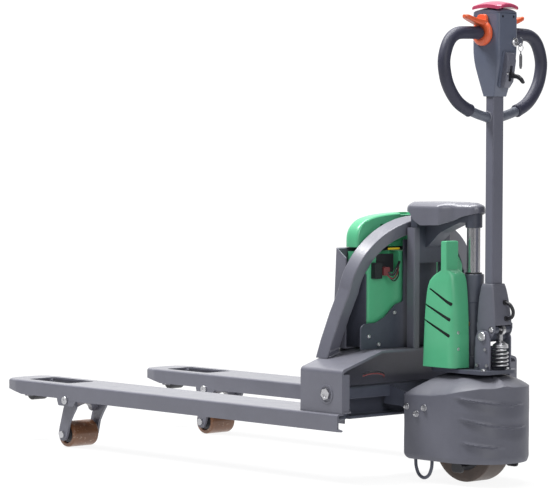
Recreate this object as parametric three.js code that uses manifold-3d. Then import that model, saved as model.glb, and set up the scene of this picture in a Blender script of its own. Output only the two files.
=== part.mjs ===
// Electric pallet truck: two forks that lift on a ram, a steered drive unit and an upright tiller.
// Millimetres, +Z up, floor at z = 0. Shapes are written in truck coordinates, where x = y = 0 is
// the steering axis, +X points to the operator and the near side is -Y. The whole truck is then
// moved along X so that its origin is the middle of its bounding box on the floor.
import * as THREE from 'three';
import { mergeVertices } from 'three/addons/utils/BufferGeometryUtils.js';
import Module from 'manifold-3d';

const wasm = await Module();
wasm.setup();

// ---- driving dimensions -------------------------------------------------------------------
const FIT = 0.4;                    // gap kept between touching pieces
const FORK_TIP_X = -1543;
const FORK_REAR_X = -150;
const LINK_SLOT_X = -285;
const FORK_CENTRE_Y = 262.5;
const FORK_WIDTH = 160;
const FORK_TOP_Z = 183;
const FORK_DEPTH = 45;
const PLATE = 5;
const HEEL_SEAT = 2;                // the heel boxes stand this deep in the fork tops
const WINDOW_X = [-1462, -1275];
const WINDOW_WIDTH = 98;

const BRACKET_PIVOT = { x: -1253, z: 138 };
const LOAD_AXLE = { x: -1290, z: 37.2 };
const LOAD_WHEEL_R = 37;
const LOAD_WHEEL_WIDTH = 90;
const BRACKET_LEVER = 30;
const LEVER_REST = 126;             // degrees from +X towards +Z
const TIP_ROLLER = { x: -1478, z: 139, r: 19, width: 52 };

const HEEL_PIVOT = { x: -203, z: 231 };
const BASE_PIVOT = { x: -32, z: 178.5 };
const ROCKER_SWING = 17.1;          // degrees each side of level
const ROCKER_LEVER = 60;
const ROCKER_ARM_Y = [103, 111];

const HEEL_SIDE_Y = 330;
const HEEL_FRONT_X = -299;
const HEEL_TOP_Z = 298;
const BRIDGE_TOP_Z = 338;
const BRIDGE_HALF = 185;
const REAR_X = -146;
const SHEET = 6;

const ARCH_FOOT = { x: -262, z: 330 };
const ARCH_TOP = { x: -176, z: 672 };
const ARCH_DEPTH = 42;
const ARCH_BAND = 36;

const BATTERY_HALF = 182;
const BATTERY_X = [-284, -206];
const BATTERY_TOP_Z = 590;
const BOX_HALF = 216;
const BOX_TOP_Z = 600;
const COVER_HALF = 186;
const COVER_TOP_Z = 689;

const POST_X = [-175, REAR_X];
const POST_Y = [49, 68];
const POST_TOP_Z = 652;
const HOOD_NOSE_R = 28;
const HOOD_FRONT_X = -178;
const HOOD_FRONT_HALF = 76;
const HOOD_CORNER_X = -60;
const HOOD_CORNER_HALF = 71;
const HOOD_WAIST = [-34, 42];
const HOOD_TOP_Z = 720;
const HOOD_INNER_Z = 704;
const RAM_R = 18;
const RAM_TOP_Z = 655;
const CYLINDER_TOP_Z = 536;

const WHEEL_R = 105;
const WHEEL_WIDTH = 70;
const SHELL_HALF = 125;
const SHELL_CENTRE_X = 25;
const SHELL_FRONT_X = -127;
const SHELL_Z = [58, 228];
const SHELL_TOP_Z = 280;
const SHELL_WALL = 3.5;
const DECK_Z = [284, 294];

const TILLER_X = 70;
const TILLER_PIVOT = { x: TILLER_X, z: 380 };
const TUBE = { x: 28, y: 40 };
const EYE_PIN = { x: 92.2, z: 397 };
const SPRING = { x: 95, r: 19, z: [294.5, 350] };
const HEAD = { xTop: [23, 115], xLow: [51, 89], yTop: 36, yLow: 24, z: [992, 1110, 1203] };
const LOOP_X = 64;
const LOOP_TOP_Z = 1153;
const LOOP_LOW_Z = 938;
const LOOP_HALF = 182;
const BAR_R = 12.5;
const GRIP_R = 16.3;

const TRUCK_SHIFT_X = -(FORK_TIP_X + SHELL_CENTRE_X + SHELL_HALF) / 2;

// ---- colours ------------------------------------------------------------------------------
const FINISH = {
  frame: [0x6d6d7a, 0.5, 0.3],
  shell: [0x5d5d68, 0.6, 0.0],
  dark: [0x30323c, 0.6, 0.2],
  green: [0x3c9c66, 0.45, 0.0],
  orange: [0xf0662a, 0.5, 0.0],
  red: [0xb23a55, 0.4, 0.0],
  grip: [0x2b2c38, 0.8, 0.0],
  urethane: [0x8a5a2c, 0.6, 0.0],
  zinc: [0xc9c9cc, 0.35, 0.9],
  chrome: [0xd8d8da, 0.15, 1.0],
  brass: [0xc9a06a, 0.35, 0.9],
  black: [0x17181c, 0.6, 0.0],
};

// ---- helpers ------------------------------------------------------------------------------
const rad = (degrees) => degrees * Math.PI / 180;

function solid(geometry) {
  const bare = geometry.index ? geometry.toNonIndexed() : geometry.clone();
  bare.deleteAttribute('normal');
  bare.deleteAttribute('uv');
  const merged = mergeVertices(bare, 1e-4);
  return new wasm.Manifold(new wasm.Mesh({
    numProp: 3,
    vertProperties: Float32Array.from(merged.attributes.position.array),
    triVerts: Uint32Array.from(merged.index.array),
  }));
}

function geometryOf(body) {
  const mesh = body.getMesh();
  const geometry = new THREE.BufferGeometry();
  geometry.setAttribute('position', new THREE.BufferAttribute(mesh.vertProperties, 3));
  geometry.setIndex(new THREE.BufferAttribute(mesh.triVerts, 1));
  geometry.computeVertexNormals();
  return geometry;
}

const join = (first, ...others) => others.reduce((sum, next) => sum.add(next), first);
const cut = (first, ...others) => others.reduce((sum, next) => sum.subtract(next), first);

function box([x0, x1], [y0, y1], [z0, z1]) {
  const geometry = new THREE.BoxGeometry(x1 - x0, y1 - y0, z1 - z0);
  return solid(geometry.translate((x0 + x1) / 2, (y0 + y1) / 2, (z0 + z1) / 2));
}

function rodZ(x, y, [z0, z1], radius, sides = 14) {
  const geometry = new THREE.CylinderGeometry(radius, radius, z1 - z0, sides);
  return solid(geometry.rotateX(Math.PI / 2).translate(x, y, (z0 + z1) / 2));
}

function rodY(x, [y0, y1], z, radius, sides = 14) {
  const geometry = new THREE.CylinderGeometry(radius, radius, y1 - y0, sides);
  return solid(geometry.translate(x, (y0 + y1) / 2, z));
}

function rodX([x0, x1], y, z, radius, sides = 12) {
  const geometry = new THREE.CylinderGeometry(radius, radius, x1 - x0, sides);
  return solid(geometry.rotateZ(Math.PI / 2).translate((x0 + x1) / 2, y, z));
}

function outline(points) {
  return new THREE.Shape(points.map(([a, b]) => new THREE.Vector2(a, b)));
}

// An outline given in (x, z), as thick as y0 to y1.
function slabY(points, [y0, y1]) {
  const geometry = new THREE.ExtrudeGeometry(outline(points), { depth: y1 - y0, bevelEnabled: false });
  return solid(geometry.rotateX(Math.PI / 2).translate(0, y1, 0));
}

// An outline given in (x, y), as tall as z0 to z1.
function slabZ(points, [z0, z1]) {
  const geometry = new THREE.ExtrudeGeometry(outline(points), { depth: z1 - z0, bevelEnabled: false });
  return solid(geometry.translate(0, 0, z0));
}

// An outline given in (y, z), as long as x0 to x1.
function slabX(points, [x0, x1]) {
  const geometry = new THREE.ExtrudeGeometry(outline(points), { depth: x1 - x0, bevelEnabled: false });
  const turn = new THREE.Matrix4().makeBasis(
    new THREE.Vector3(0, 1, 0), new THREE.Vector3(0, 0, 1), new THREE.Vector3(1, 0, 0));
  return solid(geometry.applyMatrix4(turn).translate(x0, 0, 0));
}

// A closed skin through equal-length rings of [x, y, z], with flat ends; rings run anticlockwise.
function loft(rings) {
  const count = rings[0].length;
  const positions = rings.flat(2);
  const index = [];
  for (let level = 0; level < rings.length - 1; level += 1) {
    for (let i = 0; i < count; i += 1) {
      const a = level * count + i;
      const b = level * count + (i + 1) % count;
      index.push(a, b, b + count, a, b + count, a + count);
    }
  }
  const lastRing = (rings.length - 1) * count;
  for (let i = 1; i < count - 1; i += 1) {
    index.push(0, i + 1, i);
    index.push(lastRing, lastRing + i, lastRing + i + 1);
  }
  const geometry = new THREE.BufferGeometry();
  geometry.setAttribute('position', new THREE.Float32BufferAttribute(positions, 3));
  geometry.setIndex(index);
  return solid(geometry);
}

function sweep(points, shape, steps) {
  const path = new THREE.CatmullRomCurve3(points.map((p) => new THREE.Vector3(...p)), false, 'centripetal');
  return solid(new THREE.ExtrudeGeometry(shape, { steps, extrudePath: path, curveSegments: 3 }));
}

function circle(radius, sides = 8) {
  const shape = new THREE.Shape();
  for (let i = 0; i < sides; i += 1) {
    const angle = i * 2 * Math.PI / sides;
    const place = [radius * Math.cos(angle), radius * Math.sin(angle)];
    if (i === 0) shape.moveTo(...place);
    else shape.lineTo(...place);
  }
  shape.closePath();
  return shape;
}

function ring(outer, inner, sides = 8) {
  const shape = circle(outer, sides);
  const hole = circle(inner, sides);
  shape.holes.push(new THREE.Path(hole.getPoints().reverse()));
  return shape;
}

// A profile of [radius, height] turned about the vertical line at (x, y).
function turnZ(profile, x, y, sides = 16) {
  const points = profile.map(([r, h]) => new THREE.Vector2(r, h));
  return solid(new THREE.LatheGeometry(points, sides).rotateX(Math.PI / 2).translate(x, y, 0));
}

// The same about the line along Y through (x, z).
function turnY(profile, x, z, sides = 16) {
  const points = profile.map(([r, h]) => new THREE.Vector2(r, h));
  return solid(new THREE.LatheGeometry(points, sides).translate(x, 0, z));
}

// Rounded rectangle in (a, b), corners of radius r, anticlockwise, a fixed number of points.
function roundedBox([a0, a1], [b0, b1], radius, perCorner = 3) {
  const corners = [[a1, b1, 0], [a0, b1, 90], [a0, b0, 180], [a1, b0, 270]];
  return corners.flatMap(([a, b, start]) => {
    const centreA = a + (a === a1 ? -radius : radius);
    const centreB = b + (b === b1 ? -radius : radius);
    return Array.from({ length: perCorner }, (_, i) => {
      const angle = rad(start + 90 * i / (perCorner - 1));
      return [centreA + radius * Math.cos(angle), centreB + radius * Math.sin(angle)];
    });
  });
}

const mirrored = (points) => points.map(([a, b]) => [-a, b]).reverse();
const bothSides = (half) => [...half, ...mirrored(half)];
const span = (side, low, high) => (side > 0 ? [low, high] : [-high, -low]);

const truck = new THREE.Group();
truck.position.x = TRUCK_SHIFT_X;

function add(name, finish, body) {
  const [color, roughness, metalness] = FINISH[finish];
  const material = new THREE.MeshStandardMaterial({ color, roughness, metalness });
  const mesh = new THREE.Mesh(geometryOf(body), material);
  mesh.name = name;
  truck.add(mesh);
}

// A bolt along Y: the shank runs inwards, the washer and head stand outside yFace.
function boltY(x, z, yFace, side, shank, radius, headRadius, headHeight) {
  const head = rodY(x, span(side, Math.abs(yFace) + 2, Math.abs(yFace) + 2 + headHeight), z, headRadius, 6);
  const washer = rodY(x, span(side, Math.abs(yFace), Math.abs(yFace) + 2), z, headRadius * 1.2, 12);
  const body = rodY(x, span(side, Math.abs(yFace) - shank, Math.abs(yFace) + 1), z, radius, 8);
  return join(head, washer, body);
}

// ---- forks --------------------------------------------------------------------------------
function forkPlan(inset) {
  const half = FORK_WIDTH / 2 - inset;
  const tip = FORK_TIP_X + inset;
  const corner = [[63, 0], [38, 3], [21, 8], [8, 18], [2, 30], [0, 44]];
  const edge = corner.map(([back, side]) => [tip + back, half - side]);
  return [...edge, ...edge.map(([x, y]) => [x, -y]).reverse()];
}

function makeFork(side) {
  const centre = side * FORK_CENTRE_Y;
  const at = (points) => points.map(([x, y]) => [x, centre + y]);
  const low = FORK_TOP_Z - FORK_DEPTH;
  const half = FORK_WIDTH / 2;
  const outer = slabZ(at([[FORK_REAR_X, half], ...forkPlan(0), [FORK_REAR_X, -half]]), [low, FORK_TOP_Z]);
  const hollow = slabZ(at([[FORK_REAR_X + 9, half - PLATE], ...forkPlan(PLATE),
    [FORK_REAR_X + 9, PLATE - half]]), [low - 9, FORK_TOP_Z - PLATE]);
  const innerSide = span(side, FORK_CENTRE_Y - half - 1, FORK_CENTRE_Y + half - 22);
  const linkSlot = box([LINK_SLOT_X, FORK_REAR_X + 9], innerSide, [low - 9, FORK_TOP_Z + 9]);
  const window = slabZ(at(roundedBox(WINDOW_X, [-WINDOW_WIDTH / 2, WINDOW_WIDTH / 2], 14)),
    [low, FORK_TOP_Z + 9]);
  const noseRise = slabY([[FORK_TIP_X - 9, low - 9], [FORK_TIP_X + 103, low - 9], [FORK_TIP_X + 103, low],
    [FORK_TIP_X + 70, low + 8], [FORK_TIP_X + 20, low + 16], [FORK_TIP_X - 9, low + 19]],
  [centre - 99, centre + 99]);
  const heelSeat = box([HEEL_FRONT_X - FIT, FORK_REAR_X + 9], [centre - 99, centre + 99],
    [FORK_TOP_Z - HEEL_SEAT, FORK_TOP_Z + 9]);
  const rollerAxle = rodY(TIP_ROLLER.x, [centre - 37, centre + 37], TIP_ROLLER.z, 5.2, 12);
  const pivotHoles = rodY(BRACKET_PIVOT.x, [centre - 99, centre + 99], BRACKET_PIVOT.z, 8.3, 16);
  const ears = [-1, 1].map((cheek) => slabY(
    [[-1284, low - 16], [-1222, low - 16], [-1208, low + 4], [-1298, low + 4]],
    span(cheek, half - PLATE, half).map((y) => centre + y)));
  const cheeks = [-1, 1].map((cheek) => slabY(
    [[-1496, 134], [-1460, 134], [-1452, 179], [-1496, 179]],
    span(cheek, 31, 36).map((y) => centre + y)));
  return cut(join(cut(outer, hollow), ...ears, ...cheeks), linkSlot, window, noseRise, heelSeat,
    rollerAxle, pivotHoles);
}

function makeTipRoller(side) {
  const centre = side * FORK_CENTRE_Y;
  const half = TIP_ROLLER.width / 2;
  return turnY([[0, centre - half - 3], [4.8, centre - half - 3], [4.8, centre - half],
    [TIP_ROLLER.r - 2, centre - half], [TIP_ROLLER.r, centre - half + 2],
    [TIP_ROLLER.r, centre + half - 2], [TIP_ROLLER.r - 2, centre + half], [4.8, centre + half],
    [4.8, centre + half + 3], [0, centre + half + 3]], TIP_ROLLER.x, TIP_ROLLER.z, 16);
}

// ---- load wheel brackets ------------------------------------------------------------------
function leverPin() {
  const angle = rad(LEVER_REST);
  return {
    x: BRACKET_PIVOT.x + BRACKET_LEVER * Math.cos(angle),
    z: BRACKET_PIVOT.z + BRACKET_LEVER * Math.sin(angle),
  };
}

function makeBracket(side) {
  const centre = side * FORK_CENTRE_Y;
  const pin = leverPin();
  const arm = [[-1238, 146], [-1252, 154], [-1268, 146], [-1284, 116], [-1300, 62], [-1307, 36],
    [-1302, 24], [-1292, 19], [-1280, 22], [-1273, 33], [-1266, 66], [-1254, 92], [-1236, 112], [-1233, 130]];
  const arms = [-1, 1].map((cheek) => slabY(arm, span(cheek, 51, 59).map((y) => centre + y)));
  const tube = rodY(BRACKET_PIVOT.x, [centre - 52, centre + 52], BRACKET_PIVOT.z, 14);
  const rodRoom = rodY(BRACKET_PIVOT.x, [centre - 8.5, centre + 8.5], BRACKET_PIVOT.z, 30);
  const web = slabY([[-1240, 138], [-1266, 138], [-1286, 104], [-1278, 100]], [centre - 52, centre + 52]);
  const archCut = new THREE.CylinderGeometry(40, 40, 120, 16).rotateZ(Math.PI / 2)
    .translate(-1282, centre, 84);
  const wheelRoom = rodY(LOAD_AXLE.x, [centre - 47, centre + 47], LOAD_AXLE.z, LOAD_WHEEL_R + 5, 20);
  const lever = [-1, 1].map((cheek) => slabY(
    [[BRACKET_PIVOT.x - 12, BRACKET_PIVOT.z], [BRACKET_PIVOT.x + 12, BRACKET_PIVOT.z],
      [pin.x + 8, pin.z + 3], [pin.x + 3, pin.z + 7], [pin.x - 5, pin.z + 7], [pin.x - 9, pin.z]],
    span(cheek, 9, 15).map((y) => centre + y)));
  const crossPin = rodY(pin.x, [centre - 14, centre + 14], pin.z, 4.5, 12);
  const frame = cut(join(...arms, tube, web), solid(archCut), wheelRoom, rodRoom);
  const body = join(frame, ...lever, crossPin);
  const pivotBore = rodY(BRACKET_PIVOT.x, [centre - 60, centre + 60], BRACKET_PIVOT.z, 8.3, 16);
  const axle = rodY(LOAD_AXLE.x, [centre - 59, centre + 59], LOAD_AXLE.z, 8, 12);
  const axleHeads = [-1, 1].map((cheek) => rodY(LOAD_AXLE.x,
    span(cheek, 58, 65).map((y) => centre + y), LOAD_AXLE.z, 12, 6));
  return join(cut(body, pivotBore), axle, ...axleHeads);
}

function makeBracketPin(side) {
  const centre = side * FORK_CENTRE_Y;
  const shank = rodY(BRACKET_PIVOT.x, [centre - 83, centre + 83], BRACKET_PIVOT.z, 8, 12);
  const heads = [-1, 1].map((cheek) => rodY(BRACKET_PIVOT.x,
    span(cheek, FORK_WIDTH / 2 + FIT, FORK_WIDTH / 2 + 5).map((y) => centre + y), BRACKET_PIVOT.z, 11, 12));
  return join(shank, ...heads);
}

function makeLoadWheel(side) {
  const centre = side * FORK_CENTRE_Y;
  const half = LOAD_WHEEL_WIDTH / 2;
  return turnY([[8.5, centre - half + 4], [24, centre - half + 4], [27, centre - half],
    [LOAD_WHEEL_R - 3, centre - half], [LOAD_WHEEL_R, centre - half + 4],
    [LOAD_WHEEL_R, centre + half - 4], [LOAD_WHEEL_R - 3, centre + half], [27, centre + half],
    [24, centre + half - 4], [8.5, centre + half - 4], [8.5, centre - half + 4]],
  LOAD_AXLE.x, LOAD_AXLE.z, 18);
}

// ---- lift linkage -------------------------------------------------------------------------
function rockerLeverPin() {
  const angle = rad(270 - ROCKER_SWING);
  return {
    x: HEEL_PIVOT.x + ROCKER_LEVER * Math.cos(angle),
    z: HEEL_PIVOT.z + ROCKER_LEVER * Math.sin(angle),
  };
}

function makePushRod(side) {
  const centre = side * FORK_CENTRE_Y;
  const front = leverPin();
  const rear = rockerLeverPin();
  const bar = slabY([[front.x + 16, front.z - 5], [rear.x - 10, rear.z - 6],
    [rear.x - 10, rear.z + 2.5], [front.x + 16, front.z + 4]], [centre - 7, centre + 7]);
  const rearEye = rodY(rear.x, [centre - 7, centre + 7], rear.z, 16, 20);
  const rearBore = rodY(rear.x, [centre - 9, centre + 9], rear.z - 1.5, 8.2, 16);
  const hook = slabY([[front.x - 13, front.z - 5], [front.x - 6, front.z - 12], [front.x + 14, front.z - 12],
    [front.x + 22, front.z - 5], [front.x + 22, front.z + 7], [front.x - 13, front.z + 7]],
  [centre - 7, centre + 7]);
  const hookSlot = slabY([[front.x - 5.4, front.z - 5.4], [front.x + 5.4, front.z - 5.4],
    [front.x + 5.4, front.z + 9], [front.x - 5.4, front.z + 9]], [centre - 9, centre + 9]);
  return cut(join(bar, rearEye, hook), rearBore, hookSlot);
}

function makeRocker() {
  const pin = rockerLeverPin();
  const beamX = [-232, -192];
  const beamEnd = 297;
  const beam = cut(box(beamX, [-beamEnd, beamEnd], [162, 245]),
    box([-227, -187], [-beamEnd - 9, beamEnd + 9], [170, 216]));
  const armLength = Math.hypot(BASE_PIVOT.x - HEEL_PIVOT.x, BASE_PIVOT.z - HEEL_PIVOT.z);
  const along = (distance, lift) => [
    HEEL_PIVOT.x + distance * Math.cos(rad(ROCKER_SWING)) + lift * Math.sin(rad(ROCKER_SWING)),
    HEEL_PIVOT.z - distance * Math.sin(rad(ROCKER_SWING)) + lift * Math.cos(rad(ROCKER_SWING)),
  ];
  const armShape = [along(0, -40), along(60, -24), along(armLength - 12, -15), along(armLength + 7, -15),
    along(armLength + 14, -6), along(armLength + 14, 6), along(armLength + 7, 15),
    along(armLength - 12, 15), along(20, 16), along(0, 14)];
  const slot = [along(armLength - 8.3, -8.2), along(armLength, -8.2), along(armLength + 6, -5.6),
    along(armLength + 8.2, 0), along(armLength + 6, 5.6), along(armLength, 8.2),
    along(armLength - 8.3, 8.2), along(armLength - 14.3, 5.6), along(armLength - 16.5, 0),
    along(armLength - 14.3, -5.6)];
  const parts = [];
  const tools = [];
  for (const side of [-1, 1]) {
    parts.push(slabY(armShape, span(side, ...ROCKER_ARM_Y)));
    tools.push(slabY(slot, span(side, ROCKER_ARM_Y[0] - 3, ROCKER_ARM_Y[1] + 3)));
    const eyeEnds = span(side, 272, beamEnd);
    parts.push(rodY(HEEL_PIVOT.x, eyeEnds, HEEL_PIVOT.z, 24));
    tools.push(rodY(HEEL_PIVOT.x, span(side, 260, beamEnd + 9), HEEL_PIVOT.z, 12.4, 20));
    tools.push(box([-260, -180], span(side, FORK_CENTRE_Y - 8.5, FORK_CENTRE_Y + 8.5), [140, 195]));
    parts.push(...[-1, 1].map((cheek) => slabY([
      [pin.x - 12, 215], [pin.x - 12, pin.z - 2], [pin.x - 6, pin.z - 10],
      [pin.x + 6, pin.z - 10], [pin.x + 12, pin.z - 2], [pin.x + 12, 215]],
    span(cheek, 8.5, 15).map((y) => side * FORK_CENTRE_Y + y))));
    const bossY = [side * FORK_CENTRE_Y - 15, side * FORK_CENTRE_Y + 15];
    parts.push(box([pin.x - 12, pin.x + 12], bossY, [196, 218]));
  }
  const pins = [-1, 1].map((side) => rodY(pin.x,
    [side * FORK_CENTRE_Y - 14, side * FORK_CENTRE_Y + 14], pin.z, 5, 12));
  return join(cut(join(beam, ...parts), ...tools), ...pins);
}

function makeHeelPin(side) {
  const shank = rodY(HEEL_PIVOT.x, span(side, 268, HEEL_SIDE_Y + 2), HEEL_PIVOT.z, 12, 20);
  const head = rodY(HEEL_PIVOT.x, span(side, HEEL_SIDE_Y + FIT, HEEL_SIDE_Y + 7), HEEL_PIVOT.z, 16, 6);
  return join(shank, head);
}

// ---- lifting chassis ----------------------------------------------------------------------
// Cross-section of the heel boxes and the bridge between them, in (y, z), narrowed by inset.
function bridgeSection(inset, low) {
  const side = HEEL_SIDE_Y - inset;
  return bothSides([[side, low], [side, HEEL_TOP_Z - 12 - inset], [side - 4, HEEL_TOP_Z - 4 - inset],
    [side - 14, HEEL_TOP_Z + 2 - inset], [BRIDGE_HALF, BRIDGE_TOP_Z - inset]]);
}

function makeChassisBase() {
  const low = FORK_TOP_Z - HEEL_SEAT + FIT;
  const outer = slabX(bridgeSection(0, low), [HEEL_FRONT_X, REAR_X]);
  const hollow = slabX(bridgeSection(SHEET, low - 9), [HEEL_FRONT_X + SHEET, REAR_X + 9]);
  const flanges = [-1, 1].map((side) => box([REAR_X - SHEET, REAR_X],
    span(side, 303, HEEL_SIDE_Y - 1), [low, HEEL_TOP_Z - 14]));
  const bosses = [-1, 1].map((side) => rodY(HEEL_PIVOT.x,
    span(side, 300, HEEL_SIDE_Y - 1), HEEL_PIVOT.z, 24, 24));
  const bores = rodY(HEEL_PIVOT.x, [-400, 400], HEEL_PIVOT.z, 12.4, 20);
  return cut(join(cut(outer, hollow), ...flanges, ...bosses), bores);
}

// The arch stands in a plane that leans forwards at its foot; (u, w) are across and up that plane.
function makeArch(grow = 0) {
  const rise = Math.hypot(ARCH_TOP.x - ARCH_FOOT.x, ARCH_TOP.z - ARCH_FOOT.z);
  const lean = Math.atan2(ARCH_TOP.x - ARCH_FOOT.x, ARCH_TOP.z - ARCH_FOOT.z);
  const shoulder = 160;
  const footHalf = 265;
  const shoulderHalf = 230;
  const arc = (half, height, steps) => Array.from({ length: steps + 1 }, (_, i) => {
    const angle = Math.PI / 2 * i / steps;
    return [half * Math.cos(angle), shoulder + height * Math.sin(angle)];
  }).slice(0, -1);
  const edge = (inset) => [[footHalf + 3 - inset, -30],
    ...arc(shoulderHalf - inset, rise - shoulder - inset, 10), [0, rise - inset]];
  const outer = edge(-grow);
  const inner = edge(ARCH_BAND + grow);
  const band = [...outer, ...mirrored(outer).slice(1), ...mirrored(inner).reverse(),
    ...inner.slice(0, -1).reverse()];
  const depth = ARCH_DEPTH + 2 * grow;
  const geometry = new THREE.ExtrudeGeometry(outline(band), { depth, bevelEnabled: false });
  const place = new THREE.Matrix4().makeBasis(
    new THREE.Vector3(0, 1, 0),
    new THREE.Vector3(Math.sin(lean), 0, Math.cos(lean)),
    new THREE.Vector3(Math.cos(lean), 0, -Math.sin(lean)));
  geometry.translate(0, 0, -ARCH_DEPTH - grow).applyMatrix4(place).translate(ARCH_FOOT.x, 0, ARCH_FOOT.z);
  const underBridge = slabX(bothSides([[HEEL_SIDE_Y + 9, 100], [HEEL_SIDE_Y + 9, HEEL_TOP_Z + FIT],
    [HEEL_SIDE_Y - 14, HEEL_TOP_Z + 2 + FIT], [BRIDGE_HALF, BRIDGE_TOP_Z + FIT]]), [-400, 0]);
  return cut(solid(geometry), underBridge);
}

function makeBatteryBox() {
  const front = (z) => -299 + (z - 340) * 0.05;
  const low = BRIDGE_TOP_Z + FIT;
  const profile = (inset) => [[front(low) + inset, low], [-250, low], [-250, 575 - inset],
    [front(BOX_TOP_Z) + inset, BOX_TOP_Z]];
  const outer = slabY(profile(0), [-BOX_HALF, BOX_HALF]);
  const hollow = slabY([[front(low) + 4, low + 4], [-240, low + 4], [-240, 700], [front(BOX_TOP_Z) + 4, 700]],
    [4 - BOX_HALF, BOX_HALF - 4]);
  const guides = [-1, 1].map((side) => box([-283, -207], span(side, BATTERY_HALF + 1, BATTERY_HALF + 4),
    [low, 536]));
  const sill = box([-290, -207], [-BATTERY_HALF - 4, BATTERY_HALF + 4], [low, low + 4]);
  return cut(join(cut(outer, hollow), sill, ...guides), makeArch(0.6));
}

function makeBattery() {
  const low = BRIDGE_TOP_Z + 5;
  const pack = slabZ(roundedBox(BATTERY_X, [-BATTERY_HALF, BATTERY_HALF], 10), [low, BATTERY_TOP_Z]);
  const recess = box([BATTERY_X[1] - 34, BATTERY_X[1] + 9], [-138, -66], [540, 592]);
  return cut(pack, recess, makeArch(1));
}

function makeBatteryLid() {
  const section = (half, top, base, corner) => {
    const points = [[half, base], [half, top - corner * 1.05]];
    for (let i = 1; i <= 6; i += 1) {
      const angle = Math.PI / 2 * i / 6;
      points.push([half - corner * 1.45 * (1 - Math.cos(angle)),
        top - corner * 1.05 * (1 - Math.sin(angle))]);
    }
    return bothSides(points);
  };
  const ringAt = (x, inset) => section(COVER_HALF - inset, COVER_TOP_Z - inset, 601, 64 - inset)
    .map(([y, z]) => [x, y, z]);
  const outer = loft([ringAt(-288, 12), ringAt(-284, 4), ringAt(-276, 0), ringAt(-244, 0), ringAt(-239, 3)]);
  const innerRing = (x) => section(COVER_HALF - 4, COVER_TOP_Z - 4, 590, 60).map(([y, z]) => [x, y, z]);
  const hollow = loft([innerRing(-280), innerRing(-220)]);
  return cut(outer, hollow);
}

function makeMastPost(side) {
  const [y0, y1] = POST_Y;
  const channel = [[POST_X[0], side * y1], [POST_X[0], side * y0], [POST_X[0] + 4, side * y0],
    [POST_X[0] + 4, side * (y1 - 4)], [POST_X[1] - 4, side * (y1 - 4)], [POST_X[1] - 4, side * y0],
    [POST_X[1], side * y0], [POST_X[1], side * y1]];
  return slabZ(side > 0 ? channel : channel.slice().reverse(), [BRIDGE_TOP_Z + FIT, POST_TOP_Z]);
}

function makeMastPanel() {
  const top = [[214, 400], [200, 407], [160, 407], [128, 420], [88, 452], [50, 459], [48, 620]];
  const low = BRIDGE_TOP_Z + FIT;
  return slabX(bothSides([[214, low], ...top]), [-200, -195.5]);
}

// The gooseneck that hangs the lifting frame on the ram.
function makeHeadArm() {
  const side = [[-170, 600], [POST_X[1], 600], [-100, 640], [-30, 668], [0, 668], [0, HOOD_INNER_Z],
    [-170, HOOD_INNER_Z]];
  const spine = slabY(side, [-22, 22]);
  const socket = rodZ(0, 0, [RAM_TOP_Z, HOOD_INNER_Z], 22, 20);
  const cross = box([-167, -151], [-POST_Y[0] + FIT, POST_Y[0] - FIT], [560, HOOD_INNER_Z]);
  const crown = box([-170, -147], [-58, 58], [POST_TOP_Z + FIT, HOOD_INNER_Z]);
  return join(spine, socket, cross, crown);
}

function makeHood() {
  const plan = (inset) => {
    const radius = HOOD_NOSE_R - inset;
    const nose = [];
    for (let i = 0; i <= 6; i += 1) {
      const angle = Math.PI / 2 * i / 6;
      nose.push([4 + radius * Math.cos(angle), radius * Math.sin(angle)]);
    }
    const corner = HOOD_CORNER_HALF - inset;
    const side = [[HOOD_WAIST[0], HOOD_WAIST[1] - inset], [HOOD_CORNER_X + 4, corner - 5],
      [HOOD_CORNER_X - 3, corner]];
    const wide = HOOD_FRONT_HALF - inset;
    const front = [[HOOD_FRONT_X + 24, wide], [HOOD_FRONT_X + 8, wide - 4],
      [HOOD_FRONT_X + inset, wide - 18]];
    const half = [...nose, ...side, ...front];
    return [...half, ...half.map(([x, y]) => [x, -y]).reverse().slice(0, -1)];
  };
  const ringAt = (z, inset) => plan(inset).map(([x, y]) => [x, y, z]);
  const outer = loft([ringAt(650, 0), ringAt(702, 0), ringAt(712, 3), ringAt(718, 9),
    ringAt(HOOD_TOP_Z, 16)]);
  const hollow = loft([ringAt(640, 4), ringAt(700, 4), ringAt(709, 7), ringAt(714, 14)]);
  const lowerEdge = slabY([[-400, 600], [90, 600], [90, 700], [30, 694], [-62, 660], [-123, 658],
    [-150, 678], [-164, 694], [-400, 694]], [-99, 99]);
  return cut(outer, hollow, lowerEdge);
}

function makeRamRod() {
  const top = RAM_TOP_Z - FIT;
  return turnZ([[0, 406], [RAM_R - 3, 406], [RAM_R, 409], [RAM_R, top], [0, top]], 0, 0, 18);
}

// ---- base frame and drive cover (neither steers nor lifts) -----------------------------------
const COVER_BOLTS = [[-116, 193], [-81, 176], [-53, 193]];

function makeBaseFrame() {
  const plate = cut(box([-108, 44], [-112.5, 112.5], [226, 238]), rodZ(0, 0, [200, 250], 31, 20));
  const cheeks = [-1, 1].map((side) => slabY([[-120, 80], [-30, 80], [-12, 150], [-12, 226.5],
    [-114, 226.5], [-120, 214]], span(side, 112.5, 119.5)));
  const hoops = [-1, 1].map((side) => makeHoop(side * 109));
  const lips = [-1, 1].map((side) => box([-118, -12], span(side, 105, 119.5), [222, 227]));
  const pins = [-1, 1].map((side) => rodY(BASE_PIVOT.x, span(side, 100, 114), BASE_PIVOT.z, 7, 16));
  const holes = COVER_BOLTS.map(([x, z]) => rodY(x, [-130, 130], z, 4.4, 10));
  return cut(join(plate, ...lips, ...cheeks, ...hoops, ...pins), ...holes);
}

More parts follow.
